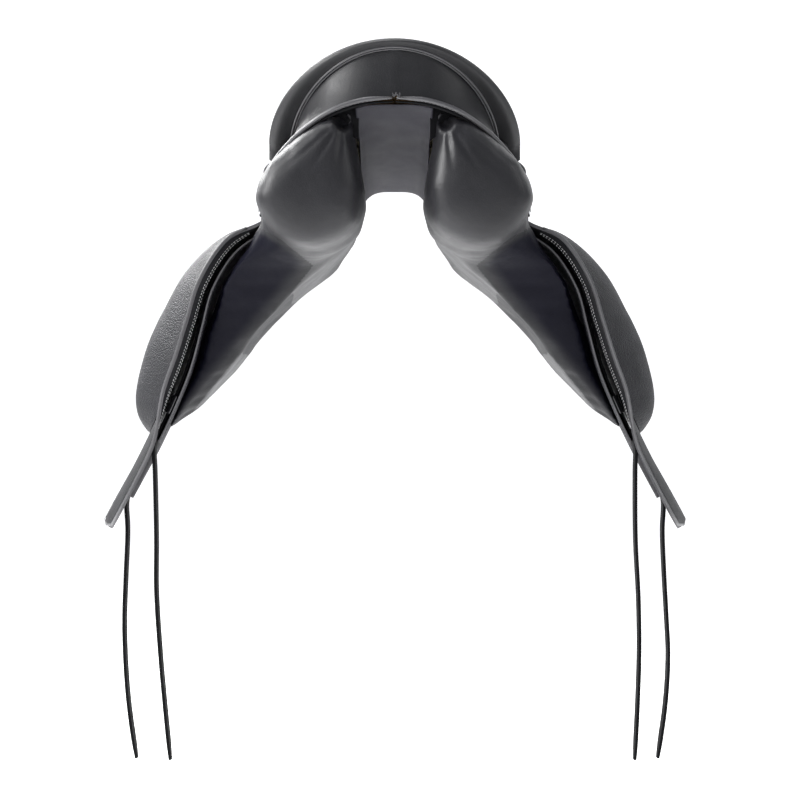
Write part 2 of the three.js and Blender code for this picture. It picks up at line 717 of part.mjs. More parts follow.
function pointPocket() {
  return flapSheet(3, 2, [0.05, 0.108], [() => 108, () => 152], [POCKET_LIFT, POCKET_LIFT - 2]);
}

// ---------------------------------------------------------------- assembly

const saddle = new THREE.Group();

function add(name, geometry, look) {
  const mesh = new THREE.Mesh(geometry, new THREE.MeshStandardMaterial(look));
  mesh.name = name;
  saddle.add(mesh);
}

function addPair(name, geometry, look) {
  add(`${name}_right`, geometry, look);
  add(`${name}_left`, mirrored(geometry), look);
}

const point = treePoint();
const tree = join(treeLoop(), point, mirrored(point));
const holes = RIVET_U.map(rivetHole);

add('tree', cut(tree, ...holes, ...holes.map(mirrored)), beech);
add('head_plate', headPlate(), springSteel);
add('gullet_plate', gulletPlate(), springSteel);
addPair('tree_spring', treeSpring(), springSteel);
add('seat_web_long', longWeb(), webbing);
add('seat_web_cross', crossWeb(), webbing);
add('girth_web_front', girthWeb(0.6, 0.66), webbing);
add('girth_web_rear', girthWeb(0.495, 0.555), webbing);
add('seat_foam', seatFoam(), foam);
add('seat_cover_rear', seatCoverRear(), leather);
add('seat_cover_front', seatCoverFront(), leather);
add('cantle_facing', cantleFacing(), leather);
add('cantle_piping', cantlePiping(), leather);
add('pommel_facing', pommelFacing(), leather);
add('gullet_lining', gulletLining(), softLeather);
addPair('panel', panel(), softLeather);
addPair('panel_welt', panelWelt(), leather);
addPair('flap_top', cut(flapTop(), ...RIVET_U.map(rivetHole)), leather);
addPair('flap', flap(), leather);
addPair('thigh_block', thighBlock(), leather);
addPair('sweat_flap', sweatFlap(), leather);
addPair('billet_keeper', billetKeeper(), strapLeather);
addPair('skirt', skirt(), leather);
addPair('point_pocket', pointPocket(), softLeather);
for (const billet of BILLETS) {
  addPair(`billet_${billet.name}_upper`, upperBillet(billet), strapLeather);
  addPair(`billet_${billet.name}`, lowerBillet(billet), strapLeather);
}
addPair('stirrup_bar', stirrupBar(), steel);
addPair('stirrup_bar_catch', stirrupBarCatch(), steel);
addPair('bar_rivet_upper', rivet(RIVET_U[0]), steel);
addPair('bar_rivet_lower', rivet(RIVET_U[1]), steel);
addPair('saddle_nail', saddleNail(), steel);
addPair('dee_front', dee(DEE_FRONT), steel);
addPair('dee_front_chape', chape(DEE_FRONT), strapLeather);
addPair('dee_rear', dee(DEE_REAR), steel);
addPair('dee_rear_chape', chape(DEE_REAR), strapLeather);

export default saddle;
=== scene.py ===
"""English dressage saddle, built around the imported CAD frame.

Shapes are worked out in millimetres in the saddle's own frame (+X off side, +Y pommel, +Z up)
and become metres when a mesh is made.
"""
import json
import math

import bmesh
import bpy
import numpy as np
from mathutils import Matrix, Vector


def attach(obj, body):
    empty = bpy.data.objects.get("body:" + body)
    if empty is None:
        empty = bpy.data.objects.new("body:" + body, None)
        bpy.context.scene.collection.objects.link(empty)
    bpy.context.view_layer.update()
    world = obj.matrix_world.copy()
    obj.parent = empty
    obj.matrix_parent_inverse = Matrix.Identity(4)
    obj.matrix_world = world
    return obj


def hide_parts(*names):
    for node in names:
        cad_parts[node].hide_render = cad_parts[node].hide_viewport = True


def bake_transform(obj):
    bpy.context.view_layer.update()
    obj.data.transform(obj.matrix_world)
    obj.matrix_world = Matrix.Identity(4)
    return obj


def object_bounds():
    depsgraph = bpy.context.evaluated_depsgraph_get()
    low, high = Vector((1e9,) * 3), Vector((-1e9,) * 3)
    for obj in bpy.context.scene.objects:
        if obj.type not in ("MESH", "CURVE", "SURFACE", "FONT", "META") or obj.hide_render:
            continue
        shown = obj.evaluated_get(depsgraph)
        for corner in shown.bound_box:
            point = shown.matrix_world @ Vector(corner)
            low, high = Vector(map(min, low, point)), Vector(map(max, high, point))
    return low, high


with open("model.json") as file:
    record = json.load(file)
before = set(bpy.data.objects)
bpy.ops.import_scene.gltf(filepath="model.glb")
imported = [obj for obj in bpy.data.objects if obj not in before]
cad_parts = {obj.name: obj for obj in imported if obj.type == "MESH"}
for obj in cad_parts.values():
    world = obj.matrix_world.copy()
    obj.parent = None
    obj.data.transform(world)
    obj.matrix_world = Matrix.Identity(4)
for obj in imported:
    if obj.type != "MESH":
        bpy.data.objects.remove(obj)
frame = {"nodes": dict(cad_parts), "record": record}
CAD_BOX = [list(corner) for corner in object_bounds()]

MM = 0.001
SIDES = (("right", 1), ("left", -1))

# ------------------------------------------------------------------ the saddle's own sizes

SEAT_CENTRE = [
    (0, -250, 152), (0, -255, 158), (0, -246, 163), (0, -230, 154), (0, -205, 122),
    (0, -165, 84), (0, -110, 58), (0, -50, 46), (0, 10, 47), (0, 70, 62),
    (0, 125, 88), (0, 170, 115), (0, 203, 130), (0, 222, 120), (0, 226, 100),
]
SEAT_EDGE = [
    (138, -118, 38), (157, -121, 40), (165, -118, 45), (161, -108, 44), (155, -95, 38),
    (146, -75, 31), (136, -50, 27), (124, -15, 24), (112, 25, 26), (100, 70, 34),
    (88, 120, 50), (76, 162, 68), (66, 190, 84), (60, 202, 78), (56, 206, 66),
]
FLAP_PROFILE = [
    (118, 0, -2), (147, 0, -26), (176, 0, -50), (222, 0, -83), (255, 0, -133),
    (273, 0, -188), (293, 0, -248), (335, 0, -344), (394, 0, -464),
]
FLAP_REAR = [(0, -88), (0.3, -80), (0.5, -68), (0.7, -46), (0.85, -20), (0.95, 12), (1, 42)]
FLAP_FRONT = [(0, 160), (0.3, 192), (0.5, 198), (0.7, 184), (0.85, 160), (0.95, 126), (1, 96)]
BLOCK_HEIGHT = [
    (0.15, 4), (0.17, 14), (0.2, 26), (0.36, 47), (0.5, 58), (0.58, 56), (0.67, 44), (0.72, 26), (0.745, 4),
]
BLOCK_REAR = [(0.15, 38), (0.36, 8), (0.55, 4), (0.745, 46)]
BLOCK_FRONT = [(0.15, 140), (0.36, 178), (0.55, 184), (0.745, 148)]
FLARE = 0.13
FLARE_START = -70
HINGE_U = 0.137
FLAP = 4.5
SWEAT_FLAP = 3
BILLET = 4
BILLET_WIDTH = 26
BILLETS = {"rear": (-14, 0.758, -782), "front": (78, 0.915, -796)}
COVER = 2
RIM_DROP = 19       # how far the rim's ends reach below the seat's edge
RIM_PAST = 0.06     # the part of the seat's width, beyond 1, that the rim's ends take
CHANNEL_HALF = 46


# ------------------------------------------------------------------ curves and surfaces

def mix(a, b, k):
    return a + (b - a) * k


def clamp(value, low=0.0, high=1.0):
    return max(low, min(high, value))


def smooth(value, low, high):
    k = clamp((value - low) / (high - low))
    return k * k * (3 - 2 * k)


class Curve:
    """A centripetal Catmull-Rom curve through points, by control point or by arc length."""

    def __init__(self, points, samples=600):
        self.points = [np.array(p, float) for p in points]
        self.table = [self.at(i / samples) for i in range(samples + 1)]
        steps = [np.linalg.norm(b - a) for a, b in zip(self.table, self.table[1:])]
        self.lengths = np.concatenate([[0], np.cumsum(steps)])

    def at(self, t):
        last = len(self.points) - 1
        place = clamp(t) * last
        i = min(int(place), last - 1)
        k = place - i
        p = self.points
        p1, p2 = p[i], p[i + 1]
        p0 = p[i - 1] if i else 2 * p1 - p2
        p3 = p[i + 2] if i + 2 <= last else 2 * p2 - p1
        d0, d1, d2 = (max(np.linalg.norm(b - a), 1e-9) ** 0.5 for a, b in ((p0, p1), (p1, p2), (p2, p3)))
        m1 = ((p1 - p0) / d0 - (p2 - p0) / (d0 + d1) + (p2 - p1) / d1) * d1
        m2 = ((p2 - p1) / d1 - (p3 - p1) / (d1 + d2) + (p3 - p2) / d2) * d1
        k2, k3 = k * k, k * k * k
        return (2 * k3 - 3 * k2 + 1) * p1 + (k3 - 2 * k2 + k) * m1 + (3 * k2 - 2 * k3) * p2 + (k3 - k2) * m2

    def along(self, u):
        """Point and unit tangent at a fraction of the arc length."""
        want = clamp(u) * self.lengths[-1]
        i = int(np.clip(np.searchsorted(self.lengths, want) - 1, 0, len(self.table) - 2))
        a, b = self.table[i], self.table[i + 1]
        k = (want - self.lengths[i]) / max(self.lengths[i + 1] - self.lengths[i], 1e-9)
        return a + (b - a) * k, (b - a) / max(np.linalg.norm(b - a), 1e-9)


def along(pairs, place):
    """Value of a smooth function given by (place, value) pairs."""
    last = len(pairs) - 1
    end = next((i for i, pair in enumerate(pairs) if pair[0] >= place), last)
    end = min(max(end, 1), last)
    (a0, a1), (b0, b1) = pairs[end - 1], pairs[end]
    k = clamp((place - a0) / (b0 - a0))
    before, after = pairs[max(end - 2, 0)], pairs[min(end + 1, last)]
    slope_a = (b1 - before[1]) / (b0 - before[0]) * (b0 - a0)
    slope_b = (after[1] - a1) / (after[0] - a0) * (b0 - a0)
    k2, k3 = k * k, k * k * k
    value = (2 * k3 - 3 * k2 + 1) * a1 + (k3 - 2 * k2 + k) * slope_a + (3 * k2 - 2 * k3) * b1
    return value + (k3 - k2) * slope_b


seat_centre = Curve(SEAT_CENTRE)
seat_edge = Curve(SEAT_EDGE)
flap_profile = Curve(FLAP_PROFILE)


def seat_top(s, t):
    """Top of the seat: s from the cantle seam to the pommel front, t from side to side."""
    centre, edge = seat_centre.at(s), seat_edge.at(s)
    angle = clamp(t, -1, 1) * math.pi / 2
    weight = max(math.cos(angle), 0)
    fall = 1.15 if s < 0.2 else 1
    skirt = RIM_DROP * max(abs(t) - 1, 0) / RIM_PAST * (1 - smooth(s, 0.235, 0.3))
    y = mix(edge[1], centre[1], weight)
    z = mix(edge[2], centre[2], weight ** fall) - skirt
    return np.array((edge[0] * math.sin(angle), y, z))


def seat_normal(s, t):
    step = 0.004
    t = clamp(t, step - 1, 1 - step)
    forward = seat_top(s + step, t) - seat_top(s - step, t)
    sideways = seat_top(s, t + step) - seat_top(s, t - step)
    normal = np.cross(sideways, forward)
    return normal / max(np.linalg.norm(normal), 1e-9)


def seat_at(s, t, depth):
    return seat_top(s, t) - seat_normal(s, t) * depth


def flap_at(u, y, lift):
    """A point off the flap's outer face; lift is outwards."""
    p, tangent = flap_profile.along(u)
    below = clamp((u - HINGE_U) / (1 - HINGE_U))
    flare = FLARE * (y - FLARE_START) * below
    return np.array((p[0] - tangent[2] * lift + flare, y, p[2] + tangent[0] * lift))


def roof(y):
    return 80 * (-y / 245) ** 1.2 if y < 0 else 58 * (y / 190) ** 1.5


def welt_point(x):
    k = x / 154
    return np.array((x, -254 + 62 * k ** 3, 87 - 73 * k ** 2.4))


def past_seam(t, distance):
    """A point beyond the rim's seam, in line with the seat leather."""
    seam = seat_top(0, t)
    run = seam - seat_top(0.03, t)
    return seam + run / np.linalg.norm(run) * distance


def tail_round(u):
    """The part of the flap's width left where its tail is rounded off."""
    k = clamp((u - 0.955) / 0.045)
    return 0.3 + 0.7 * math.sqrt(max(1 - k * k, 0))


def flap_rear(u):
    rear, front = along(FLAP_REAR, u), along(FLAP_FRONT, u)
    return mix((rear + front) / 2, rear, tail_round(u))


def flap_front(u):
    rear, front = along(FLAP_REAR, u), along(FLAP_FRONT, u)
    return mix((rear + front) / 2, front, tail_round(u))


# ------------------------------------------------------------------ materials

def node_material(name):
    material = bpy.data.materials.new(name)
    material.use_nodes = True
    nodes = material.node_tree.nodes
    return material, nodes, material.node_tree.links, nodes["Principled BSDF"]


def noise(nodes, links, coordinates, scale, detail=2.0, roughness=0.5):
    texture = nodes.new("ShaderNodeTexNoise")
    texture.inputs["Scale"].default_value = scale
    texture.inputs["Detail"].default_value = detail
    texture.inputs["Roughness"].default_value = roughness
    links.new(coordinates, texture.inputs["Vector"])
    return texture.outputs["Fac"]


def ramp(nodes, links, source, stops):
    node = nodes.new("ShaderNodeValToRGB")
    elements = node.color_ramp.elements
    while len(elements) < len(stops):
        elements.new(0.5)
    for element, (place, colour) in zip(elements, stops):
        element.position = place
        element.color = (*colour, 1)
    links.new(source, node.inputs["Fac"])
    return node.outputs["Color"]


def grey(value):
    return (value, value, value)


def leather(name, colour, roughness=0.46, grain=900, depth=0.00012, crease=0.0003, worn=1.35, specular=0.5):
    """Finished leather: a pebbled grain, fine pores, slow creases and a little colour and gloss change."""
    material, nodes, links, shader = node_material(name)
    place = nodes.new("ShaderNodeTexCoord").outputs["Object"]
    cells = nodes.new("ShaderNodeTexVoronoi")
    cells.feature = "SMOOTH_F1"
    cells.inputs["Scale"].default_value = grain
    cells.inputs["Smoothness"].default_value = 0.6
    warp = nodes.new("ShaderNodeVectorMath")
    warp.operation = "MULTIPLY_ADD"
    wobble = nodes.new("ShaderNodeTexNoise")
    wobble.inputs["Scale"].default_value = grain * 0.35
    links.new(place, wobble.inputs["Vector"])
    links.new(wobble.outputs["Color"], warp.inputs[0])
    warp.inputs[1].default_value = (0.7 / grain,) * 3
    links.new(place, warp.inputs[2])
    links.new(warp.outputs["Vector"], cells.inputs["Vector"])
    pebble = nodes.new("ShaderNodeBump")
    pebble.inputs["Distance"].default_value = depth
    pebble.inputs["Strength"].default_value = 1.0
    links.new(cells.outputs["Distance"], pebble.inputs["Height"])
    pebble.invert = True
    pores = nodes.new("ShaderNodeBump")
    pores.inputs["Distance"].default_value = depth * 0.5
    pores.inputs["Strength"].default_value = 0.8
    links.new(noise(nodes, links, place, grain * 2.6, 3), pores.inputs["Height"])
    links.new(pebble.outputs["Normal"], pores.inputs["Normal"])
    slow = nodes.new("ShaderNodeBump")
    slow.inputs["Distance"].default_value = crease
    slow.inputs["Strength"].default_value = 1.0
    links.new(noise(nodes, links, place, 34, 4, 0.6), slow.inputs["Height"])
    links.new(pores.outputs["Normal"], slow.inputs["Normal"])
    links.new(slow.outputs["Normal"], shader.inputs["Normal"])
    dark = tuple(c * 0.82 for c in colour)
    light = tuple(c * worn for c in colour)
    shades = [(0.3, dark), (0.52, colour), (0.78, light)]
    patches = noise(nodes, links, place, 14, 5, 0.62)
    links.new(ramp(nodes, links, patches, shades), shader.inputs["Base Color"])
    gloss = [(0.3, grey(roughness - 0.05)), (0.75, grey(roughness + 0.08))]
    links.new(ramp(nodes, links, noise(nodes, links, place, 26, 4, 0.6), gloss), shader.inputs["Roughness"])
    shader.inputs["Specular IOR Level"].default_value = specular
    return material


def paint_panel_side_shade(material, colour):
    """Paints shade into a panel's lower outer side: fades its leather to a dark, bluish shade colour away
    from its borders.
    """
    nodes, links = material.node_tree.nodes, material.node_tree.links
    shader = nodes["Principled BSDF"]
    first = shader.inputs["Base Color"].links[0].from_socket
    apart = nodes.new("ShaderNodeSeparateXYZ")
    links.new(nodes.new("ShaderNodeTexCoord").outputs["Object"], apart.inputs[0])
    wide = nodes.new("ShaderNodeMath")
    wide.operation = "ABSOLUTE"
    links.new(apart.outputs["X"], wide.inputs[0])

    def fade(factor, start, end):
        """0 to 1 as |x| + factor * z runs from start to end."""
        total = nodes.new("ShaderNodeMath")
        total.operation = "MULTIPLY_ADD"
        links.new(apart.outputs["Z"], total.inputs[0])
        total.inputs[1].default_value = factor
        links.new(wide.outputs[0], total.inputs[2])
        node = nodes.new("ShaderNodeMapRange")
        node.interpolation_type = "SMOOTHSTEP"
        node.inputs["From Min"].default_value = start
        node.inputs["From Max"].default_value = end
        links.new(total.outputs[0], node.inputs["Value"])
        return node.outputs["Result"]

    painted_shade_amount = nodes.new("ShaderNodeMath")
    painted_shade_amount.operation = "MULTIPLY"
    links.new(fade(0.9, 0.008, 0.04), painted_shade_amount.inputs[0])
    links.new(fade(-1.43, 0.268, 0.284), painted_shade_amount.inputs[1])
    blend = nodes.new("ShaderNodeMix")
    blend.data_type = "RGBA"
    links.new(painted_shade_amount.outputs[0], blend.inputs["Factor"])
    links.new(first, blend.inputs[6])
    blend.inputs[7].default_value = (*colour, 1)
    links.new(blend.outputs[2], shader.inputs["Base Color"])


def metal(name, colour, roughness, streak=260):
    material, nodes, links, shader = node_material(name)
    place = nodes.new("ShaderNodeTexCoord").outputs["Object"]
    shader.inputs["Metallic"].default_value = 1.0
    dark = tuple(c * 0.75 for c in colour)
    shades = [(0.3, dark), (0.7, colour)]
    links.new(ramp(nodes, links, noise(nodes, links, place, 60, 4), shades), shader.inputs["Base Color"])
    gloss = [(0.3, grey(roughness - 0.06)), (0.75, grey(roughness + 0.12))]
    links.new(ramp(nodes, links, noise(nodes, links, place, streak, 3), gloss), shader.inputs["Roughness"])
    bump = nodes.new("ShaderNodeBump")
    bump.inputs["Distance"].default_value = 0.00001
    links.new(noise(nodes, links, place, streak * 3, 2), bump.inputs["Height"])
    links.new(bump.outputs["Normal"], shader.inputs["Normal"])
    return material


def fibrous(name, colour, roughness, scale, stretch, depth=0.0002):
    """Wood, webbing and felt: a grain drawn out along one direction."""
    material, nodes, links, shader = node_material(name)
    place = nodes.new("ShaderNodeTexCoord").outputs["Object"]
    mapping = nodes.new("ShaderNodeMapping")
    mapping.inputs["Scale"].default_value = stretch
    links.new(place, mapping.inputs["Vector"])
    fibres = noise(nodes, links, mapping.outputs["Vector"], scale, 5, 0.6)
    dark = tuple(c * 0.6 for c in colour)
    links.new(ramp(nodes, links, fibres, [(0.3, dark), (0.7, colour)]), shader.inputs["Base Color"])
    bump = nodes.new("ShaderNodeBump")
    bump.inputs["Distance"].default_value = depth
    links.new(fibres, bump.inputs["Height"])
    links.new(bump.outputs["Normal"], shader.inputs["Normal"])
    shader.inputs["Roughness"].default_value = roughness
    return material


SEAT_LEATHER = leather("seat_leather", (0.020, 0.020, 0.022), 0.48, 1000, 0.00016, 0.0003, specular=0.45)
FACING_LEATHER = leather("facing_leather", (0.011, 0.011, 0.013), 0.5, 1000, 0.00016, 0.0004)
FLAP_LEATHER = leather("flap_leather", (0.014, 0.014, 0.016), 0.5, 820, 0.00022, 0.0004, specular=0.22)
BLOCK_LEATHER = leather(
    "block_leather", (0.018, 0.018, 0.021), 0.5, 430, 0.0010, 0.0007, worn=1.6, specular=0.26)
PANEL_LEATHER = leather("panel_leather", (0.012, 0.0118, 0.0145), 0.46, 900, 0.00014, 0.0007, specular=0.5)
# A copy of the panel leather for the panel's lower outer side, with little specular and painted light and
# shade: paler at its border, dark and bluish within.
PANEL_SIDE_SHADE_LEATHER = leather(
    "panel_side_painted_shade", (0.027, 0.027, 0.029), 0.5, 900, 0.00014, 0.0007, specular=0.1)
LINING_LEATHER = leather("lining_leather", (0.027, 0.026, 0.034), 0.6, 1000, 0.0001, 0.0003, specular=0.25)
STRAP_LEATHER = leather("strap_leather", (0.006, 0.006, 0.007), 0.75, 800, 0.0002, 0.0002, specular=0.08)
SWEAT_LEATHER = leather("sweat_flap_leather", (0.008, 0.008, 0.013), 0.6, 800, 0.0002, 0.0006, specular=0.2)
# Piping cords: a glossier finish, with a base colour lighter than the other black leather as painted
# highlight on the rolled cords.
PIPING_HIGHLIGHT_LEATHER = leather("piping_painted_highlight", (0.08, 0.079, 0.084), 0.34, 1400, 0.00006, 0.0001, specular=0.7)
# Paler leather for cut edges: painted highlight where the edges catch the light.
EDGE_HIGHLIGHT_LEATHER = leather("cut_edge_painted_highlight", (0.10, 0.098, 0.104), 0.55, 1400, 0.0001, 0.0002, specular=0.3)
# Near-black leather laid in the cantle's groove, under and behind the welts and round the thigh blocks:
# painted shade.
GROOVE_SHADE_LEATHER = leather("groove_painted_shade", (0.004, 0.004, 0.005), 0.7, 1200, 0.00006, 0.0002, specular=0.15)
THREAD = fibrous("thread", (0.8, 0.8, 0.8), 0.6, 1800, (1, 1, 1))
DARK_THREAD = fibrous("dark_thread", (0.06, 0.06, 0.065), 0.6, 1800, (1, 1, 1))
# Painted shade: the panel's lower outer side fades to this near-black, bluish colour.
paint_panel_side_shade(PANEL_SIDE_SHADE_LEATHER, (0.0030, 0.0030, 0.0080))
STEEL = metal("steel", (0.62, 0.63, 0.65), 0.24)
SPRING_STEEL = metal("spring_steel", (0.16, 0.17, 0.2), 0.42)
BEECH = fibrous("tree_wood", (0.42, 0.27, 0.13), 0.55, 60, (3, 0.4, 3))
WEBBING = fibrous("webbing", (0.55, 0.5, 0.38), 0.85, 900, (1, 0.2, 1), 0.0004)
FOAM = fibrous("foam", (0.62, 0.58, 0.47), 0.95, 700, (1, 1, 1), 0.0005)


# ------------------------------------------------------------------ mesh helpers

def mesh_object(name, points, faces, materials):
    """points in millimetres. materials is one material or a list of them."""
    mesh = bpy.data.meshes.new(name)
    mesh.from_pydata([tuple(float(c) * MM for c in p) for p in points], [], faces)
    mesh.update()
    for material in materials if isinstance(materials, list) else [materials]:
        mesh.materials.append(material)
    mesh.polygons.foreach_set("use_smooth", [True] * len(mesh.polygons))
    obj = bpy.data.objects.new(name, mesh)
    bpy.context.scene.collection.objects.link(obj)
    face_outwards(obj)
    return obj


def face_outwards(obj):
    bm = bmesh.new()
    bm.from_mesh(obj.data)
    bmesh.ops.recalc_face_normals(bm, faces=bm.faces)
    bm.to_mesh(obj.data)
    bm.free()


def sheet_mesh(rows, columns, outer, inner):
    """Points and faces of a sheet with thickness, and how many faces are on its two sides."""
    points = []
    for face in (outer, inner):
        for i in range(rows + 1):
            for j in range(columns + 1):
                points.append(face(i / rows, j / columns))

    def at(side, i, j):
        return (side * (rows + 1) + i) * (columns + 1) + j

    faces = []
    for i in range(rows):
        for j in range(columns):
            faces.append((at(0, i, j), at(0, i + 1, j), at(0, i + 1, j + 1), at(0, i, j + 1)))
            faces.append((at(1, i, j), at(1, i, j + 1), at(1, i + 1, j + 1), at(1, i + 1, j)))
    broad = len(faces)
    for i in range(rows):
        faces.append((at(0, i, 0), at(1, i, 0), at(1, i + 1, 0), at(0, i + 1, 0)))
        faces.append((at(0, i, columns), at(0, i + 1, columns), at(1, i + 1, columns), at(1, i, columns)))
    for j in range(columns):
        faces.append((at(0, 0, j), at(0, 0, j + 1), at(1, 0, j + 1), at(1, 0, j)))
        faces.append((at(0, rows, j), at(1, rows, j), at(1, rows, j + 1), at(0, rows, j + 1)))
    return points, faces, broad


def tube_mesh(path, radius, sides=8):
    """Points and faces of a tube along a list of points; radius is a number or a function of 0..1."""
    path = [np.array(p, float) for p in path]
    points, faces = [], []
    side = None
    for i, p in enumerate(path):
        ahead = path[min(i + 1, len(path) - 1)] - path[max(i - 1, 0)]
        ahead = ahead / max(np.linalg.norm(ahead), 1e-9)
        if side is None:
            side = np.cross(ahead, (0.31, 0.17, 0.93))
        side = side - ahead * np.dot(side, ahead)
        side = side / max(np.linalg.norm(side), 1e-9)
        other = np.cross(ahead, side)
        r = radius(i / (len(path) - 1)) if callable(radius) else radius
        for j in range(sides):
            angle = 2 * math.pi * j / sides
            points.append(p + side * (r * math.cos(angle)) + other * (r * math.sin(angle)))
    for i in range(len(path) - 1):
        for j in range(sides):
            k = (j + 1) % sides
            faces.append((i * sides + j, (i + 1) * sides + j, (i + 1) * sides + k, i * sides + k))
    faces.append(tuple(range(sides)))
    faces.append(tuple((len(path) - 1) * sides + j for j in reversed(range(sides))))
    return points, faces


def joined(parts):
    """One list of points and faces from several."""
    points, faces = [], []
    for part_points, part_faces in parts:
        base = len(points)
        points.extend(part_points)
        faces.extend(tuple(base + i for i in face) for face in part_faces)
    return points, faces


def mirror(points, side):
    return [(p[0] * side, p[1], p[2]) for p in points]


def bevel(obj, width, segments=2, angle=40):
    """Rounds the sharp edges of a sheet and applies the result."""
    modifier = obj.modifiers.new("edge", "BEVEL")
    modifier.width = width * MM
    modifier.segments = segments
    modifier.limit_method = "ANGLE"
    modifier.angle_limit = math.radians(angle)
    apply_modifiers(obj)


def apply_modifiers(obj):
    depsgraph = bpy.context.evaluated_depsgraph_get()
    result = bpy.data.meshes.new_from_object(obj.evaluated_get(depsgraph), depsgraph=depsgraph)
    old = obj.data
    obj.modifiers.clear()
    obj.data = result
    bpy.data.meshes.remove(old)
    obj.data.polygons.foreach_set("use_smooth", [True] * len(obj.data.polygons))


def leather_sheet(name, side, rows, columns, outer, inner, material, edge=None, rounding=1.0):
    """A sheet of leather with rounded cut edges, painted paler as highlight when an edge material is given.
    """
    points, faces, broad = sheet_mesh(rows, columns, outer, inner)
    obj = mesh_object(name, mirror(points, side), faces, [material, edge or material])
    for polygon in obj.data.polygons[broad:]:
        polygon.material_index = 1
    if rounding:
        bevel(obj, rounding)
    else:
        obj.data.set_sharp_from_angle(angle=math.radians(50))
    return obj


def stitches(name, path, normals, side, pitch=4.6, length=3.0, radius=0.42, material=THREAD):
    """A row of stitches lying on a surface along a path."""
    path = [np.array(p, float) for p in path]
    runs = [np.linalg.norm(b - a) for a, b in zip(path, path[1:])]
    total = np.concatenate([[0], np.cumsum(runs)])
    parts = []
    for n in range(int(total[-1] / pitch)):
        want = (n + 0.5) * pitch
        i = int(np.clip(np.searchsorted(total, want) - 1, 0, len(path) - 2))
        k = (want - total[i]) / max(runs[i], 1e-9)
        centre = path[i] + (path[i + 1] - path[i]) * k
        ahead = (path[i + 1] - path[i]) / max(runs[i], 1e-9)
        lift = np.array(normals[i], float) * radius * 0.5
        arch = ((-1, -0.5), (0.8, -0.3), (1, 0), (0.8, 0.3), (-1, 0.5))
        ends = [centre + lift * f + ahead * length * g for f, g in arch]
        parts.append(tube_mesh(ends, lambda v: radius * (1 - 0.45 * abs(2 * v - 1) ** 2), 5))
    points, faces = joined(parts)
    return mesh_object(name, mirror(points, side), faces, material)


def piece(obj, body, slot, *nodes):
    """Puts a finished piece on its body and hides the CAD nodes that it stands for; the slot argument is not
    used.
    """
    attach(obj, body)
    if nodes:
        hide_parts(*nodes)
    return obj


# ------------------------------------------------------------------ padding by cloth simulation

def inflate(obj, voxel=5, pressure=4, cap=6, subdivide=True):
    """Voxel remesh, then a short cloth simulation under pressure with a cap on each point's travel."""
    obj.data.remesh_voxel_size = voxel * MM
    bpy.context.view_layer.objects.active = obj
    obj.select_set(True)
    bpy.ops.object.voxel_remesh()
    obj.select_set(False)
    relax(obj, 6)
    start = np.array([v.co for v in obj.data.vertices])
    cloth = obj.modifiers.new("cloth", "CLOTH")
    cloth.settings.quality = 5
    cloth.settings.mass = 0.3
    cloth.settings.tension_stiffness = 12
    cloth.settings.compression_stiffness = 12
    cloth.settings.shear_stiffness = 6
    cloth.settings.bending_stiffness = 1.0
    cloth.settings.use_pressure = True
    cloth.settings.uniform_pressure_force = pressure
    cloth.settings.effector_weights.gravity = 0
    cloth.point_cache.frame_start = 1
    cloth.point_cache.frame_end = 20
    scene = bpy.context.scene
    for number in range(1, 21):
        scene.frame_set(number)
    depsgraph = bpy.context.evaluated_depsgraph_get()
    moved = np.array([v.co for v in obj.evaluated_get(depsgraph).data.vertices])
    obj.modifiers.clear()
    scene.frame_set(1)
    travel = moved - start
    far = np.linalg.norm(travel, axis=1, keepdims=True)
    travel *= np.minimum(1, cap * MM / np.maximum(far, 1e-9))
    obj.data.vertices.foreach_set("co", (start + travel).ravel())
    obj.data.update()
    relax(obj, 2)
    if subdivide:
        modifier = obj.modifiers.new("fine", "SUBSURF")
        modifier.levels = modifier.render_levels = 1
        apply_modifiers(obj)
    return obj


def relax(obj, times, factor=0.5):
    bm = bmesh.new()
    bm.from_mesh(obj.data)
    for _ in range(times):
        bmesh.ops.smooth_vert(
            bm, verts=bm.verts, factor=factor, use_axis_x=True, use_axis_y=True, use_axis_z=True)
    bm.to_mesh(obj.data)
    bm.free()
    obj.data.polygons.foreach_set("use_smooth", [True] * len(obj.data.polygons))


def sculpt(obj, move):
    """Moves every vertex by a function of its place, in millimetres."""
    for vertex in obj.data.vertices:
        p = np.array(vertex.co) / MM
        vertex.co = Vector((p + move(p)) * MM)
    obj.data.update()


# ------------------------------------------------------------------ camera, light and floor

def make_camera():
    data = bpy.data.cameras.new("camera")
    data.lens = 90
    data.sensor_width = 36
    camera = bpy.data.objects.new("camera", data)
    camera.location = (0.007, -2.75, -0.29)
    camera.rotation_euler = (math.radians(90), 0, 0)
    bpy.context.scene.collection.objects.link(camera)
    bpy.context.scene.camera = camera


def area_light(name, place, target, size, power):
    data = bpy.data.lights.new(name, "AREA")
    data.shape = "DISK"
    data.size = size
    data.energy = power
    light = bpy.data.objects.new(name, data)
    light.location = place
    light.rotation_euler = (Vector(target) - Vector(place)).to_track_quat("-Z", "Y").to_euler()
    bpy.context.scene.collection.objects.link(light)


def make_studio():
    world = bpy.data.worlds.new("studio")
    world.use_nodes = True
    world.node_tree.nodes["Background"].inputs["Color"].default_value = (0.9, 0.93, 1, 1)
    world.node_tree.nodes["Background"].inputs["Strength"].default_value = 0.3
    bpy.context.scene.world = world
    bpy.context.scene.view_settings.view_transform = "Standard"
    area_light("key", (-2.0, -0.7, 1.0), (0, -0.1, -0.05), 1.1, 78)
    area_light("fill", (2.0, -0.7, 1.2), (0.1, -0.1, -0.05), 1.0, 10)
    area_light("top", (-0.35, 0.0, 2.3), (0, -0.2, 0), 1.0, 34)
    area_light("back_left", (-1.5, 1.6, 1.3), (0, -0.1, 0), 1.2, 60)
    area_light("back_right", (1.6, 1.6, 1.5), (0, -0.1, 0), 1.2, 4)
    make_backdrop()


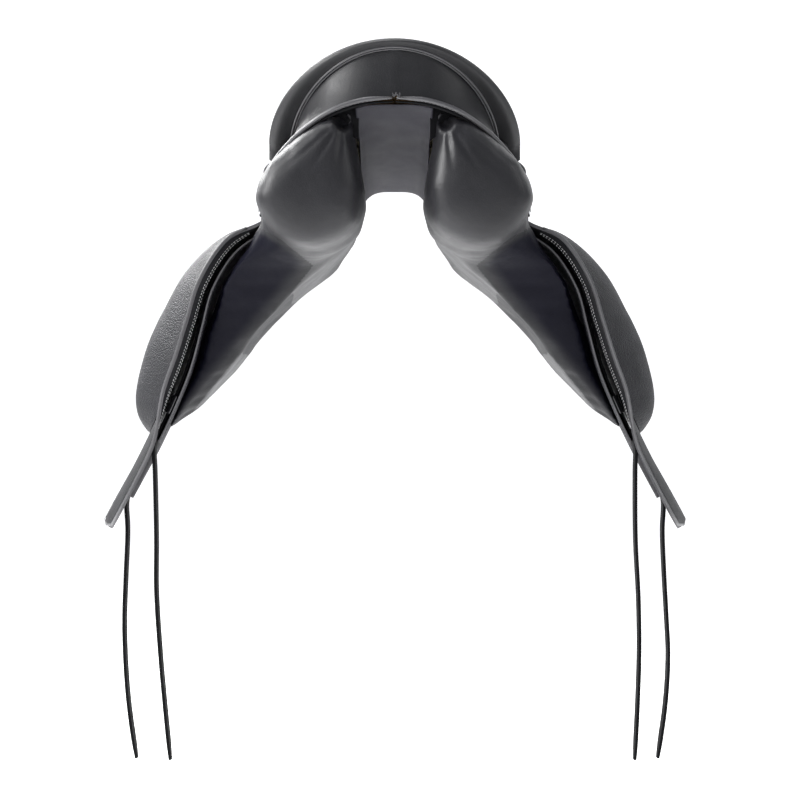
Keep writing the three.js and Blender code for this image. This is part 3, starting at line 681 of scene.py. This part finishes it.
def make_backdrop():
    """A pale floor that turns up into the studio's back wall in one sweep."""
    low = CAD_BOX[0][2] - 0.03
    turn, radius, top, wide = 6.0, 2.0, 9.0, 10.0
    profile = [(-9.0, low), (turn, low)]
    for i in range(1, 13):
        angle = math.pi / 2 * i / 12
        profile.append((turn + radius * math.sin(angle), low + radius * (1 - math.cos(angle))))
    profile.append((turn + radius, top))
    points = [(x, y, z) for y, z in profile for x in (-wide, wide)]
    faces = [(2 * i, 2 * i + 1, 2 * i + 3, 2 * i + 2) for i in range(len(profile) - 1)]
    floor = bpy.data.meshes.new("floor")
    floor.from_pydata(points, [], faces)
    floor.polygons.foreach_set("use_smooth", [True] * len(faces))
    material, nodes, links, shader = node_material("floor")
    shader.inputs["Base Color"].default_value = (0.9, 0.9, 0.9, 1)
    shader.inputs["Roughness"].default_value = 0.95
    shader.inputs["Emission Color"].default_value = (1, 1, 1, 1)
    shader.inputs["Emission Strength"].default_value = 0.62
    floor.materials.append(material)
    obj = bpy.data.objects.new("floor", floor)
    bpy.context.scene.collection.objects.link(obj)


# ------------------------------------------------------------------ seat

def make_seat():
    def face(depth):
        return lambda u, v: seat_at(u, mix(-1 - RIM_PAST, 1 + RIM_PAST, v), depth)

    cover = leather_sheet("seat_leather_cover", 1, 110, 90, face(0), face(COVER), SEAT_LEATHER, rounding=0)
    piece(cover, "saddle", "seat_leather", "seat_cover_rear", "seat_cover_front")
    for side, sign in SIDES:
        path = [seat_at(mix(0.27, 0.93, i / 60), mix(0.62, 0.5, i / 60), -0.6) for i in range(61)]
        points, faces = tube_mesh(path, 1.3)
        seam = mesh_object(f"seat_seam_{side}", mirror(points, sign), faces, PIPING_HIGHLIGHT_LEATHER)
        piece(seam, "saddle", "seat_leather")
        for row, away in enumerate((-0.035, 0.035)):
            line = [seat_at(mix(0.27, 0.93, i / 60), mix(0.62, 0.5, i / 60) + away, -0.25) for i in range(61)]
            normals = [seat_normal(mix(0.27, 0.93, i / 60), mix(0.62, 0.5, i / 60)) for i in range(61)]
            thread = stitches(f"seat_stitches_{side}_{row}", line, normals, sign, material=DARK_THREAD)
            piece(thread, "saddle", "seat_leather")


FACING_TOP = Curve(
    [past_seam(t, 5.4) for t in (0, 0.2, 0.4, 0.6, 0.76, 0.88)]
    + [(145, -138, 45), (149, -116, 39), (148, -90, 33)])
FACING_LOW = Curve(
    [welt_point(x) + (0, 4, 3.4) for x in (0, 43, 80, 109, 125, 135)]
    + [(150, -178, 22), (150, -140, 14), (142, -98, 5)])


def make_cantle():
    def face(depth):
        def point(u, v):
            across = mix(-1, 1, v)
            k = abs(across)
            p = mix(FACING_TOP.at(k), FACING_LOW.at(k), u)
            turn = clamp((k - 0.5) / 0.3)
            inward = np.array((-turn, 1 - 0.9 * turn, 0))
            hollow = 2.5 * math.sin(math.pi * u) * (1 - turn)
            p = p + inward / np.linalg.norm(inward) * (depth + hollow)
            return np.array((-p[0] if across < 0 else p[0], p[1], p[2]))
        return point

    facing = leather_sheet(
        "cantle_facing_leather", 1, 20, 120, face(0), face(2.2), FACING_LEATHER, rounding=0)
    piece(facing, "saddle", "seat_leather", "cantle_facing")
    # The middle cord is near-black: painted shade in the groove between the two pipings.
    rows = (
        (1.4, 1.5, PIPING_HIGHLIGHT_LEATHER, "outer"),
        (3.0, 1.0, GROOVE_SHADE_LEATHER, "groove"),
        (4.5, 1.2, PIPING_HIGHLIGHT_LEATHER, "inner"),
    )
    for distance, radius, material, word in rows:
        path = [past_seam(mix(-0.93, 0.93, i / 90), distance) for i in range(91)]
        path = [p + (0, -0.8, 0) for p in path] if word != "groove" else path
        points, faces = tube_mesh(path, radius)
        piping = mesh_object(f"cantle_piping_{word}", points, faces, material)
        nodes = ("cantle_piping",) if word == "outer" else ()
        piece(piping, "saddle", "seat_leather", *nodes)


def make_pommel():
    """The front of the head, and its sides back to the top of the flaps."""
    def front(depth):
        def point(u, v):
            across = mix(-1, 1, v)
            turn = math.pi / 2 * across
            low = np.array((57 * math.sin(turn), 202 - depth, 38 + 18 * math.cos(turn)))
            return mix(seat_top(1, 0.985 * across) - (0, depth, 2.6), low, u)
        return point

    def side_of_head(depth):
        def point(u, v):
            top = seat_top(mix(0.72, 0.999, v), 1) - (1 + depth, 0, 1)
            low = mix(np.array((90, 118, 34)), np.array((57, 202, 38)), v) - (depth, 0, 0)
            return mix(top, low, u)
        return point

    facing = leather_sheet(
        "pommel_facing_leather", 1, 8, 60, front(0.5), front(2.7), SEAT_LEATHER, rounding=0)
    piece(facing, "saddle", "seat_leather", "pommel_facing")
    for side, sign in SIDES:
        wall = leather_sheet(
            f"head_side_{side}", sign, 10, 40, side_of_head(0), side_of_head(2), SEAT_LEATHER, rounding=0)
        piece(wall, "saddle", "seat_leather")


# ------------------------------------------------------------------ panels and channel

def make_panels():
    source = frame["nodes"]["panel_right"].data.copy()
    panel = bpy.data.objects.new("panel_cushion_right", source)
    bpy.context.scene.collection.objects.link(panel)
    panel.data.materials.clear()
    bm = bmesh.new()
    bm.from_mesh(panel.data)
    bmesh.ops.remove_doubles(bm, verts=bm.verts, dist=0.00002)
    bm.to_mesh(panel.data)
    bm.free()
    inflate(panel, voxel=5, pressure=4, cap=5)
    recess = (65, 61)

    def top_of(x):
        """Height of the plain cushion's top under the welt."""
        return float(np.interp(x, (44, 52, 80, 105, 130, 150), (58, 64, 60, 49, 32, 10)))

    def shape(p):
        move = np.zeros(3)
        x, y, z = p
        if y < -120:
            behind = smooth(-y, 120, 215)
            rise = max(welt_point(x)[2] - 1 - top_of(x), 0)
            move[2] += rise * behind * smooth(z, top_of(x) - 34, top_of(x) - 4)
            move[1] += 6 * behind * smooth(z + move[2], 52, 78) * smooth(-y, 235, 262)
            z = z + move[2]
            away = math.hypot(x - recess[0], (z - recess[1]) * 0.88)
            move[1] += 17 * behind * math.exp(-(away / 9.5) ** 4)
            move[1] -= 2.2 * behind * math.exp(-((away - 14) / 5) ** 2)
            down = recess[1] - z
            below = smooth(down, 2, 16) * smooth(75 - down, 0, 58)
            for angle, deep in ((-0.38, 2.8), (0.1, 3.4), (0.6, 2.2), (1.15, 1.4)):
                move[1] += deep * below * math.exp(-((x - recess[0] - angle * down) / 4.2) ** 2)
            move[0] += 8 * smooth(x, 120, 165) * smooth(z, -70, -30) * (1 - smooth(z, 0, 30))
        if y > -120:
            move[0] += 2.2 * math.sin(z / 17) * math.sin(z / 41 + 1) * smooth(-z, 100, 140)
            tip = smooth(-z, 268, 318)
            move += np.array((7, 0, -9)) * tip
        return move

    sculpt(panel, shape)
    relax(panel, 1, 0.3)
    panel.data.materials.clear()
    panel.data.materials.append(PANEL_LEATHER)
    panel.data.materials.append(PANEL_SIDE_SHADE_LEATHER)
    # Faces of the panel's lower outer side take the painted-shade copy of the panel leather.
    for polygon in panel.data.polygons:
        x, _, z = polygon.center / MM
        polygon.material_index = int(x + 0.9 * z > 8 and x - 1.43 * z > 268)
    other = bpy.data.objects.new("panel_cushion_left", panel.data.copy())
    bpy.context.scene.collection.objects.link(other)
    for vertex in other.data.vertices:
        vertex.co.x *= -1
    face_outwards(other)
    for obj, side in ((panel, "right"), (other, "left")):
        piece(obj, "saddle", "panel_leather", f"panel_{side}")

    def gusset(depth):
        def point(a, b):
            x = mix(45, 140, b)
            top = welt_point(x)
            return np.array((x, top[1] + 22 + depth, mix(top[2] - 1, top_of(x) - 22, a)))
        return point

    # The strip behind the welt is near-black: painted shade in the recess under the welt.
    for side, sign in SIDES:
        strip = leather_sheet(
            f"panel_head_gusset_{side}", sign, 6, 30, gusset(0), gusset(1.5), GROOVE_SHADE_LEATHER, rounding=0)
        piece(strip, "saddle", "panel_leather")


def make_channel():
    def face(depth):
        def point(u, v):
            y = mix(-250, 178, u)
            across = mix(-1, 1, v)
            half = CHANNEL_HALF + (3 * smooth(-y, 170, 215))
            sag = mix(18, 5, -y / 248) if y < 0 else 18
            return np.array((across * (half - depth), y, roof(y) - 2 - depth - sag * abs(across) ** 4))
        return point

    lining = leather_sheet("channel_lining", 1, 60, 30, face(0), face(2), LINING_LEATHER)
    piece(lining, "saddle", "panel_leather", "gullet_lining")


def make_welts():
    anchor = [welt_point(x) for x in (3, 40, 80, 118, 140, 153)]
    anchor += [np.array((171, -180, -20)), np.array((176, -158, -46))]

    def taper(thick, start, rise, fall_from, fall_to):
        """Radius along a cord that starts thin and ends nearly closed."""
        def radius(v):
            full = thick * (start + (1 - start) * smooth(v, *rise))
            return full * (1 - 0.85 * smooth(v, fall_from, fall_to))
        return radius

    line = Curve(anchor)
    for side, sign in SIDES:
        lift = np.array((0, -2, 0))
        path = [line.along(i / 70)[0] + lift for i in range(71)]
        points, faces = tube_mesh(path, taper(3.3, 0.55, (0, 0.12), 0.9, 1))
        welt = mesh_object(f"panel_welt_cord_{side}", mirror(points, sign), faces, PIPING_HIGHLIGHT_LEATHER)
        piece(welt, "saddle", "seat_leather", f"panel_welt_{side}")
        # A near-black cord under the welt: painted shade.
        under = [line.along(i / 70)[0] + np.array((-1.6, 0.4, -4.6)) for i in range(71)]
        points, faces = tube_mesh(under, taper(2.4, 0.4, (0.02, 0.2), 0.85, 0.97))
        flange = mesh_object(f"panel_welt_flange_{side}", mirror(points, sign), faces, GROOVE_SHADE_LEATHER)
        piece(flange, "saddle", "seat_leather")
        row = [line.along(mix(0.1, 0.98, i / 70))[0] + np.array((0, -3.4, -3.2)) for i in range(71)]
        normals = [(0, -1, 0)] * len(row)
        thread = stitches(f"panel_welt_stitches_{side}", row, normals, sign, 5, 2.6, 0.3, DARK_THREAD)
        piece(thread, "saddle", "seat_leather")


def make_welt_notch():
    """The two welts end in a small frayed notch at the middle of the cantle."""
    parts = []
    for i in range(9):
        x = mix(-2, 7, i / 8)
        start = np.array((x, -257.5, 88.5 + 1.2 * math.sin(5 * i)))
        end = start + np.array((1.6 * math.sin(3.1 * i), -1.5, 4.2 - 1.4 * abs(math.sin(2.3 * i))))
        parts.append(tube_mesh([start, mix(start, end, 0.5) + (0.4, 0, 0), end], 0.45, 5))
    points, faces = joined(parts)
    # The strands take the paler edge leather, a painted highlight.
    piece(mesh_object("welt_notch_fray", points, faces, EDGE_HIGHLIGHT_LEATHER), "saddle", "seat_leather")


# ------------------------------------------------------------------ flaps

EDGE_TURN = 26      # width of the flap's turned-out rear margin
TAIL_TURN = 52      # width of the part of the tail that turns in


def flap_lift(u, y):
    """How far the rear margin of the flap stands out; towards the tail it turns in."""
    inside = y - flap_rear(u)
    out = 9 * clamp(1 - inside / EDGE_TURN) ** 2 * smooth(u, 0.13, 0.24) * (1 - smooth(u, 0.58, 0.76))
    return out - 11 * clamp(1 - inside / TAIL_TURN) ** 1.4 * smooth(u, 0.62, 0.8)


def flap_face(u0, u1, lift):
    def point(a, b):
        u = mix(u0, u1, a)
        y = mix(flap_rear(u), flap_front(u), b ** 1.15)
        sunk = 0.9 * (1 - smooth(u, 0.1, 0.135))
        return flap_at(u, y, lift + flap_lift(u, y) - sunk)
    return point


def hinge_place(sign):
    p = flap_at(HINGE_U, 0, 0)
    return np.array((p[0] * sign, 0, p[2])) * MM


def make_flaps():
    for side, sign in SIDES:
        hinge = hinge_place(sign)
        top = leather_sheet(
            f"flap_upper_leather_{side}", sign, 12, 60,
            flap_face(0, HINGE_U, 0), flap_face(0, HINGE_U, -FLAP), FLAP_LEATHER, rounding=0)
        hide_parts(f"flap_top_{side}")
        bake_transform(top)
        flap = leather_sheet(
            f"flap_leather_{side}", sign, 110, 60,
            flap_face(HINGE_U, 1, 0), flap_face(HINGE_U, 1, -FLAP), FLAP_LEATHER, EDGE_HIGHLIGHT_LEATHER, rounding=0)
        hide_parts(f"flap_{side}")
        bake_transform(flap)
        edging(side, sign)


def flap_outline(inset, lift, u0=0.18, count=160):
    """Points round the free edge of the flap, from the top of the rear edge to the top of the front edge."""
    path = []
    for i in range(count + 1):
        k = i / count
        if k < 0.5:
            u = mix(u0, 1 - inset / 560, k * 2)
            y = flap_rear(u) + inset
        else:
            u = mix(1 - inset / 560, u0, (k - 0.5) * 2)
            y = flap_front(u) - inset
        path.append(flap_at(u, y, lift + flap_lift(u, y)))
    return path


def edging(side, sign):
    body = f"flap_{side}"
    points, faces = tube_mesh(flap_outline(0.3, -0.8), 1.9)
    piping = mesh_object(f"flap_piping_{side}", mirror(points, sign), faces, PIPING_HIGHLIGHT_LEATHER)
    piece(piping, body, "flap_leather")
    for number, inset in enumerate((10, 15.5)):
        row = flap_outline(inset, -FLAP - 0.2)
        inward = [(-0.8, 0, -0.5)] * len(row)
        thread = stitches(f"flap_stitches_inner_{side}_{number}", row, inward, sign, 4.4, 2.4, 0.55)
        piece(thread, body, "flap_leather")
    row = flap_outline(8, 0.2)
    outward = [(0.8, 0, 0.5)] * len(row)
    thread = stitches(f"flap_stitches_outer_{side}", row, outward, sign, material=DARK_THREAD)
    piece(thread, body, "flap_leather")


def block_width(u):
    """Rear and front edge of the thigh block, rounded at its top and bottom."""
    rear, front = along(BLOCK_REAR, u), along(BLOCK_FRONT, u)
    top, bottom = clamp((0.2 - u) / 0.05), clamp((u - 0.675) / 0.07)
    part = 0.12 + 0.88 * math.sqrt(max(1 - max(top, bottom) ** 2, 0))
    middle = (rear + front) / 2
    return mix(middle, rear, part), mix(middle, front, part)


def make_blocks():
    for side, sign in SIDES:
        def surface(height):
            def point(a, b):
                u = mix(0.15, 0.745, a)
                y = mix(*block_width(u), b)
                crown = max(math.sin(math.pi * b ** 1.3), 0) ** 0.75
                return flap_at(u, y, 0.6 + height * (0.6 + max(along(BLOCK_HEIGHT, u), 0) * crown))
            return point

        block = leather_sheet(
            f"thigh_block_pad_{side}", sign, 90, 50, surface(1), surface(0), BLOCK_LEATHER, rounding=0)
        inflate_crown(block)
        piece(block, f"flap_{side}", "flap_leather", f"thigh_block_{side}")
        count = 60
        rim = [(0.152 + 0.59 * i / count, "rear") for i in range(count + 1)]
        rim += [(0.742 - 0.59 * i / count, "front") for i in range(count + 1)]
        path = []
        for u, edge in rim:
            rear, front = block_width(u)
            y = rear - 1 if edge == "rear" else front + 1
            path.append(flap_at(u, y, 1.2))
        # The block's piping is near-black: painted shade where the block meets the flap.
        points, faces = tube_mesh(path, 1.4)
        piping = mesh_object(f"thigh_block_piping_{side}", mirror(points, sign), faces, GROOVE_SHADE_LEATHER)
        piece(piping, f"flap_{side}", "flap_leather")


def inflate_crown(obj):
    """Evens out a pad's crown by smoothing all of its points, the rim's too."""
    relax(obj, 3, 0.4)


# ------------------------------------------------------------------ sweat flaps and straps

def hang(u):
    return 5 * smooth(u, 0.35, 0.6)


def sweat_bottom(b):
    return 0.75 + 0.16 * smooth(b, 0.22, 0.6) - 0.2 * max(b - 0.75, 0)


def strap_lift(u):
    return -6 - 0.9 * hang(u)


def make_sweat_flaps():
    def face(depth):
        def point(a, b):
            u = mix(HINGE_U + 0.001, sweat_bottom(b), a)
            y = mix(flap_rear(u) + 8, flap_front(u) - 14, b)
            thicker = 1.7 * smooth(u, 0.7, 0.8) * (1 - 2 * depth / SWEAT_FLAP)
            return flap_at(u, y, -11.4 - hang(u) - depth + thicker)
        return point

    for side, sign in SIDES:
        body = f"sweat_flap_{side}"
        flap = leather_sheet(
            f"sweat_flap_leather_{side}", sign, 70, 50,
            face(0), face(SWEAT_FLAP), SWEAT_LEATHER, EDGE_HIGHLIGHT_LEATHER)
        piece(flap, body, "flap_leather", body)
        row = [face(SWEAT_FLAP + 0.2)(mix(0.08, 0.98, i / 80), 0.022) for i in range(81)]
        inward = [(-0.8, 0, -0.5)] * len(row)
        thread = stitches(f"sweat_flap_stitches_{side}", row, inward, sign, material=DARK_THREAD)
        piece(thread, body, "flap_leather")

        def keeper(depth):
            def point(a, b):
                u = mix(0.63, 0.675, a)
                y = mix(-44, 110, b)
                return flap_at(u, y, -7.4 - 6 * abs(2 * b - 1) ** 16 - depth)
            return point

        band = leather_sheet(
            f"billet_keeper_leather_{side}", sign, 8, 70,
            keeper(0), keeper(1.4), STRAP_LEATHER, EDGE_HIGHLIGHT_LEATHER, rounding=0.4)
        piece(band, body, "strap_leather", f"billet_keeper_{side}")


def strap_axis(name):
    y, leave, _ = BILLETS[name]
    p = flap_at(leave, y, strap_lift(leave) - BILLET / 2)
    return np.array((p[0], p[1], p[2] - 1.4))


# How each hanging strap wanders outwards: (place from its bend to its tip, millimetres).
STRAP_SWAY = {
    ("rear", "left"): ((0.08, -1), (0.3, -3), (0.46, -3), (0.65, -8), (0.81, -14), (1, -22)),
    ("rear", "right"): ((0.08, -0.5), (0.3, 0), (0.49, 4), (0.65, 5), (0.81, 3), (1, -1)),
    ("front", "left"): ((0.12, -1.5), (0.3, 1), (0.47, 3), (0.65, 1), (0.81, -4), (1, -14)),
    ("front", "right"): ((0.12, -1.5), (0.3, 1), (0.45, 4), (0.6, 6.5), (0.78, 3), (1, -8)),
}


def strap_line(name, side):
    """The middle of a girth strap from its web to its tip."""
    y, leave, bottom = BILLETS[name]
    axis = strap_axis(name)
    starts = [mix(0.15, leave - 0.05, i / 8) for i in range(9)] + [leave - 0.028, leave - 0.01]
    anchors = [flap_at(u, y, strap_lift(u) - BILLET / 2) for u in starts]
    anchors.append(axis - np.array((0, 0, 7)))
    for k, sway in STRAP_SWAY[name, side]:
        anchors.append(np.array((axis[0] + sway, y, mix(axis[2], bottom, k))))
    return Curve(anchors)


def make_straps():
    for (name, side), sign in ((key, dict(SIDES)[key[1]]) for key in STRAP_SWAY):
        line = strap_line(name, side)
        total = line.lengths[-1]
        axis = strap_axis(name)

        def face(depth, line=line, total=total):
            def point(a, b):
                p, tangent = line.along(a)
                left = (1 - a) * total
                half = BILLET_WIDTH / 2 * (1 - 0.62 * (1 - clamp(left / 30)) ** 1.6)
                out = np.array((-tangent[2], 0, tangent[0]))
                return p + out * depth + np.array((0, mix(-half, half, b), 0))
            return point

        strap = leather_sheet(
            f"girth_strap_{name}_{side}", sign, 150, 6,
            face(BILLET / 2), face(-BILLET / 2), STRAP_LEATHER, rounding=0.8)
        punch_holes(strap, line, total, sign)
        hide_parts(f"billet_{name}_{side}", f"billet_{name}_upper_{side}")
        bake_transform(strap)
        for row, across in enumerate((-9.6, 9.6)):
            count = 120
            path, normals = [], []
            for i in range(count + 1):
                p, tangent = line.along(mix(0.42, 0.955, i / count))
                out = np.array((-tangent[2], 0, tangent[0]))
                path.append(p + out * (BILLET / 2 - 0.1) + (0, across, 0))
                normals.append(out)
            label = f"girth_strap_stitches_{name}_{side}_{row}"
            thread = stitches(label, path, normals, sign, 5, 3, 0.35, DARK_THREAD)
            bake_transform(thread)


def punch_holes(strap, line, total, sign, count=9, pitch=25):
    parts = []
    for i in range(count):
        p, tangent = line.along(1 - (60 + i * pitch) / total)
        out = np.array((-tangent[2], 0, tangent[0]))
        parts.append(tube_mesh([p - out * 8, p + out * 8], 2.1, 12))
    points, faces = joined(parts)
    tool = mesh_object("punch", mirror(points, sign), faces, GROOVE_SHADE_LEATHER)
    modifier = strap.modifiers.new("holes", "BOOLEAN")
    modifier.operation = "DIFFERENCE"
    modifier.solver = "EXACT"
    modifier.object = tool
    apply_modifiers(strap)
    bpy.data.objects.remove(tool)


# ------------------------------------------------------------------ skirts

SKIRT_REAR = np.array((156.4, -98, 31))
SKIRT_FRONT = np.array((95, 112, 46))


def make_skirts():
    def face(depth):
        def point(a, b):
            reach_front = 1.12 * b
            top = mix(SKIRT_REAR, SKIRT_FRONT, reach_front)
            low = np.array((171 + 5 * reach_front, top[1], -25 + 9 * reach_front))
            drop = 0.5 + 0.5 * max(math.sin(math.pi * clamp(0.06 + 0.86 * b)), 0) ** 0.55
            p = mix(top, low, a * drop)
            out = np.array((-(low[2] - top[2]), 0, low[0] - top[0]))
            return p + out / np.linalg.norm(out) * (13 * math.sin(math.pi * a) - depth)
        return point

    for side, sign in SIDES:
        body = f"skirt_{side}"
        skirt = leather_sheet(
            f"skirt_leather_{side}", sign, 40, 70, face(0), face(3), FLAP_LEATHER, EDGE_HIGHLIGHT_LEATHER)
        piece(skirt, body, "flap_leather", body)
        row = [face(-0.2)(0.9, mix(0.03, 0.97, i / 80)) for i in range(81)]
        outward = [(0.7, 0, 0.7)] * len(row)
        thread = stitches(f"skirt_stitches_{side}", row, outward, sign, material=DARK_THREAD)
        piece(thread, body, "flap_leather")


def make_skirt_bands():
    """The narrow leather between the seat's edge and the top of each skirt."""
    places = np.linspace(0.2, 1, 161)
    edge = [seat_top(s, 1) for s in places]

    def seat_side(y):
        s = float(np.interp(y, [p[1] for p in edge], places))
        return seat_top(s, 1) - (3, 0, 1)

    def face(depth):
        def point(a, b):
            low = mix(SKIRT_REAR, SKIRT_FRONT, 1.12 * b) + (1, 0, 0.3)
            p = mix(seat_side(low[1]), low, a)
            return p + np.array((0, 0, 1.6 * math.sin(math.pi * a) - depth))
        return point

    for side, sign in SIDES:
        band = leather_sheet(f"skirt_band_{side}", sign, 6, 60, face(0), face(1.6), FLAP_LEATHER, rounding=0)
        piece(band, "saddle", "flap_leather")


def make_head_gussets():
    """Leather over the tree points, and a binding along their front edge."""
    line = Curve([(72, 0, 58), (87, 0, 44), (101, 0, 22), (117, 0, -2)])
    point_line = Curve(
        [(60, 0, 48), (80, 0, 36), (96, 0, 14), (112.5, 0, -9), (140, 0, -32), (158, 0, -46.5)])

    def face(depth):
        def point(a, b):
            p, tangent = line.along(a)
            y = mix(100, 164 - 6 * a, b)
            narrow = 0.12 * (y - 130) * (1 - a)
            return np.array((p[0] - tangent[2] * depth - narrow, y, p[2] + tangent[0] * depth))
        return point

    def binding(depth):
        def point(a, b):
            p, tangent = point_line.along(a)
            across = mix(-5, 5, b)
            return np.array((p[0] - tangent[2] * across, 148.4 + depth, p[2] + tangent[0] * across))
        return point

    for side, sign in SIDES:
        gusset = leather_sheet(f"head_gusset_{side}", sign, 16, 16, face(-2), face(-4), FLAP_LEATHER)
        piece(gusset, "saddle", "flap_leather")
        strip = leather_sheet(
            f"point_binding_{side}", sign, 30, 4, binding(1.8), binding(0), FLAP_LEATHER, rounding=0.4)
        piece(strip, "saddle", "flap_leather")


# ------------------------------------------------------------------ metalwork and inner pieces

def make_dees():
    wire = 1.9
    half = ((0, 0), (10, 0), (11.2, -4), (9.5, -13), (5, -18.8), (0, -20.5))
    other_half = [(-dy, dz) for dy, dz in reversed(half[:-1])]
    outline = Curve([(0, dy, dz) for dy, dz in (*half, *other_half)])
    for word, place in (("front", (108, 150, 34)), ("rear", (177, -108, -26))):
        for side, sign in SIDES:
            path = [outline.along(i / 64)[0] + place for i in range(65)]
            points, faces = tube_mesh(path, wire, 12)
            ring = mesh_object(f"dee_{word}_ring_{side}", mirror(points, sign), faces, STEEL)
            piece(ring, f"dee_{word}_{side}", "steel", f"dee_{word}_{side}")


def finish_cad_nodes():
    """Metal, wood and webbing keep their CAD shape and get a full material."""
    looks = {
        "steel": STEEL, "spring_steel": SPRING_STEEL, "tree_wood": BEECH, "webbing": WEBBING, "foam": FOAM,
        "strap_leather": STRAP_LEATHER, "seat_leather": SEAT_LEATHER, "panel_leather": PANEL_LEATHER,
        "flap_leather": FLAP_LEATHER,
    }
    slots = {part["node"]: part["material_slot"] for part in frame["record"]["subparts"]}
    for name, obj in frame["nodes"].items():
        obj.data.materials.clear()
        obj.data.materials.append(looks[slots[name]])


# ------------------------------------------------------------------ everything

make_camera()
make_studio()
finish_cad_nodes()
make_seat()
make_cantle()
make_pommel()
make_panels()
make_channel()
make_welts()
make_welt_notch()
make_flaps()
make_blocks()
make_sweat_flaps()
make_straps()
make_skirts()
make_skirt_bands()
make_head_gussets()
make_dees()
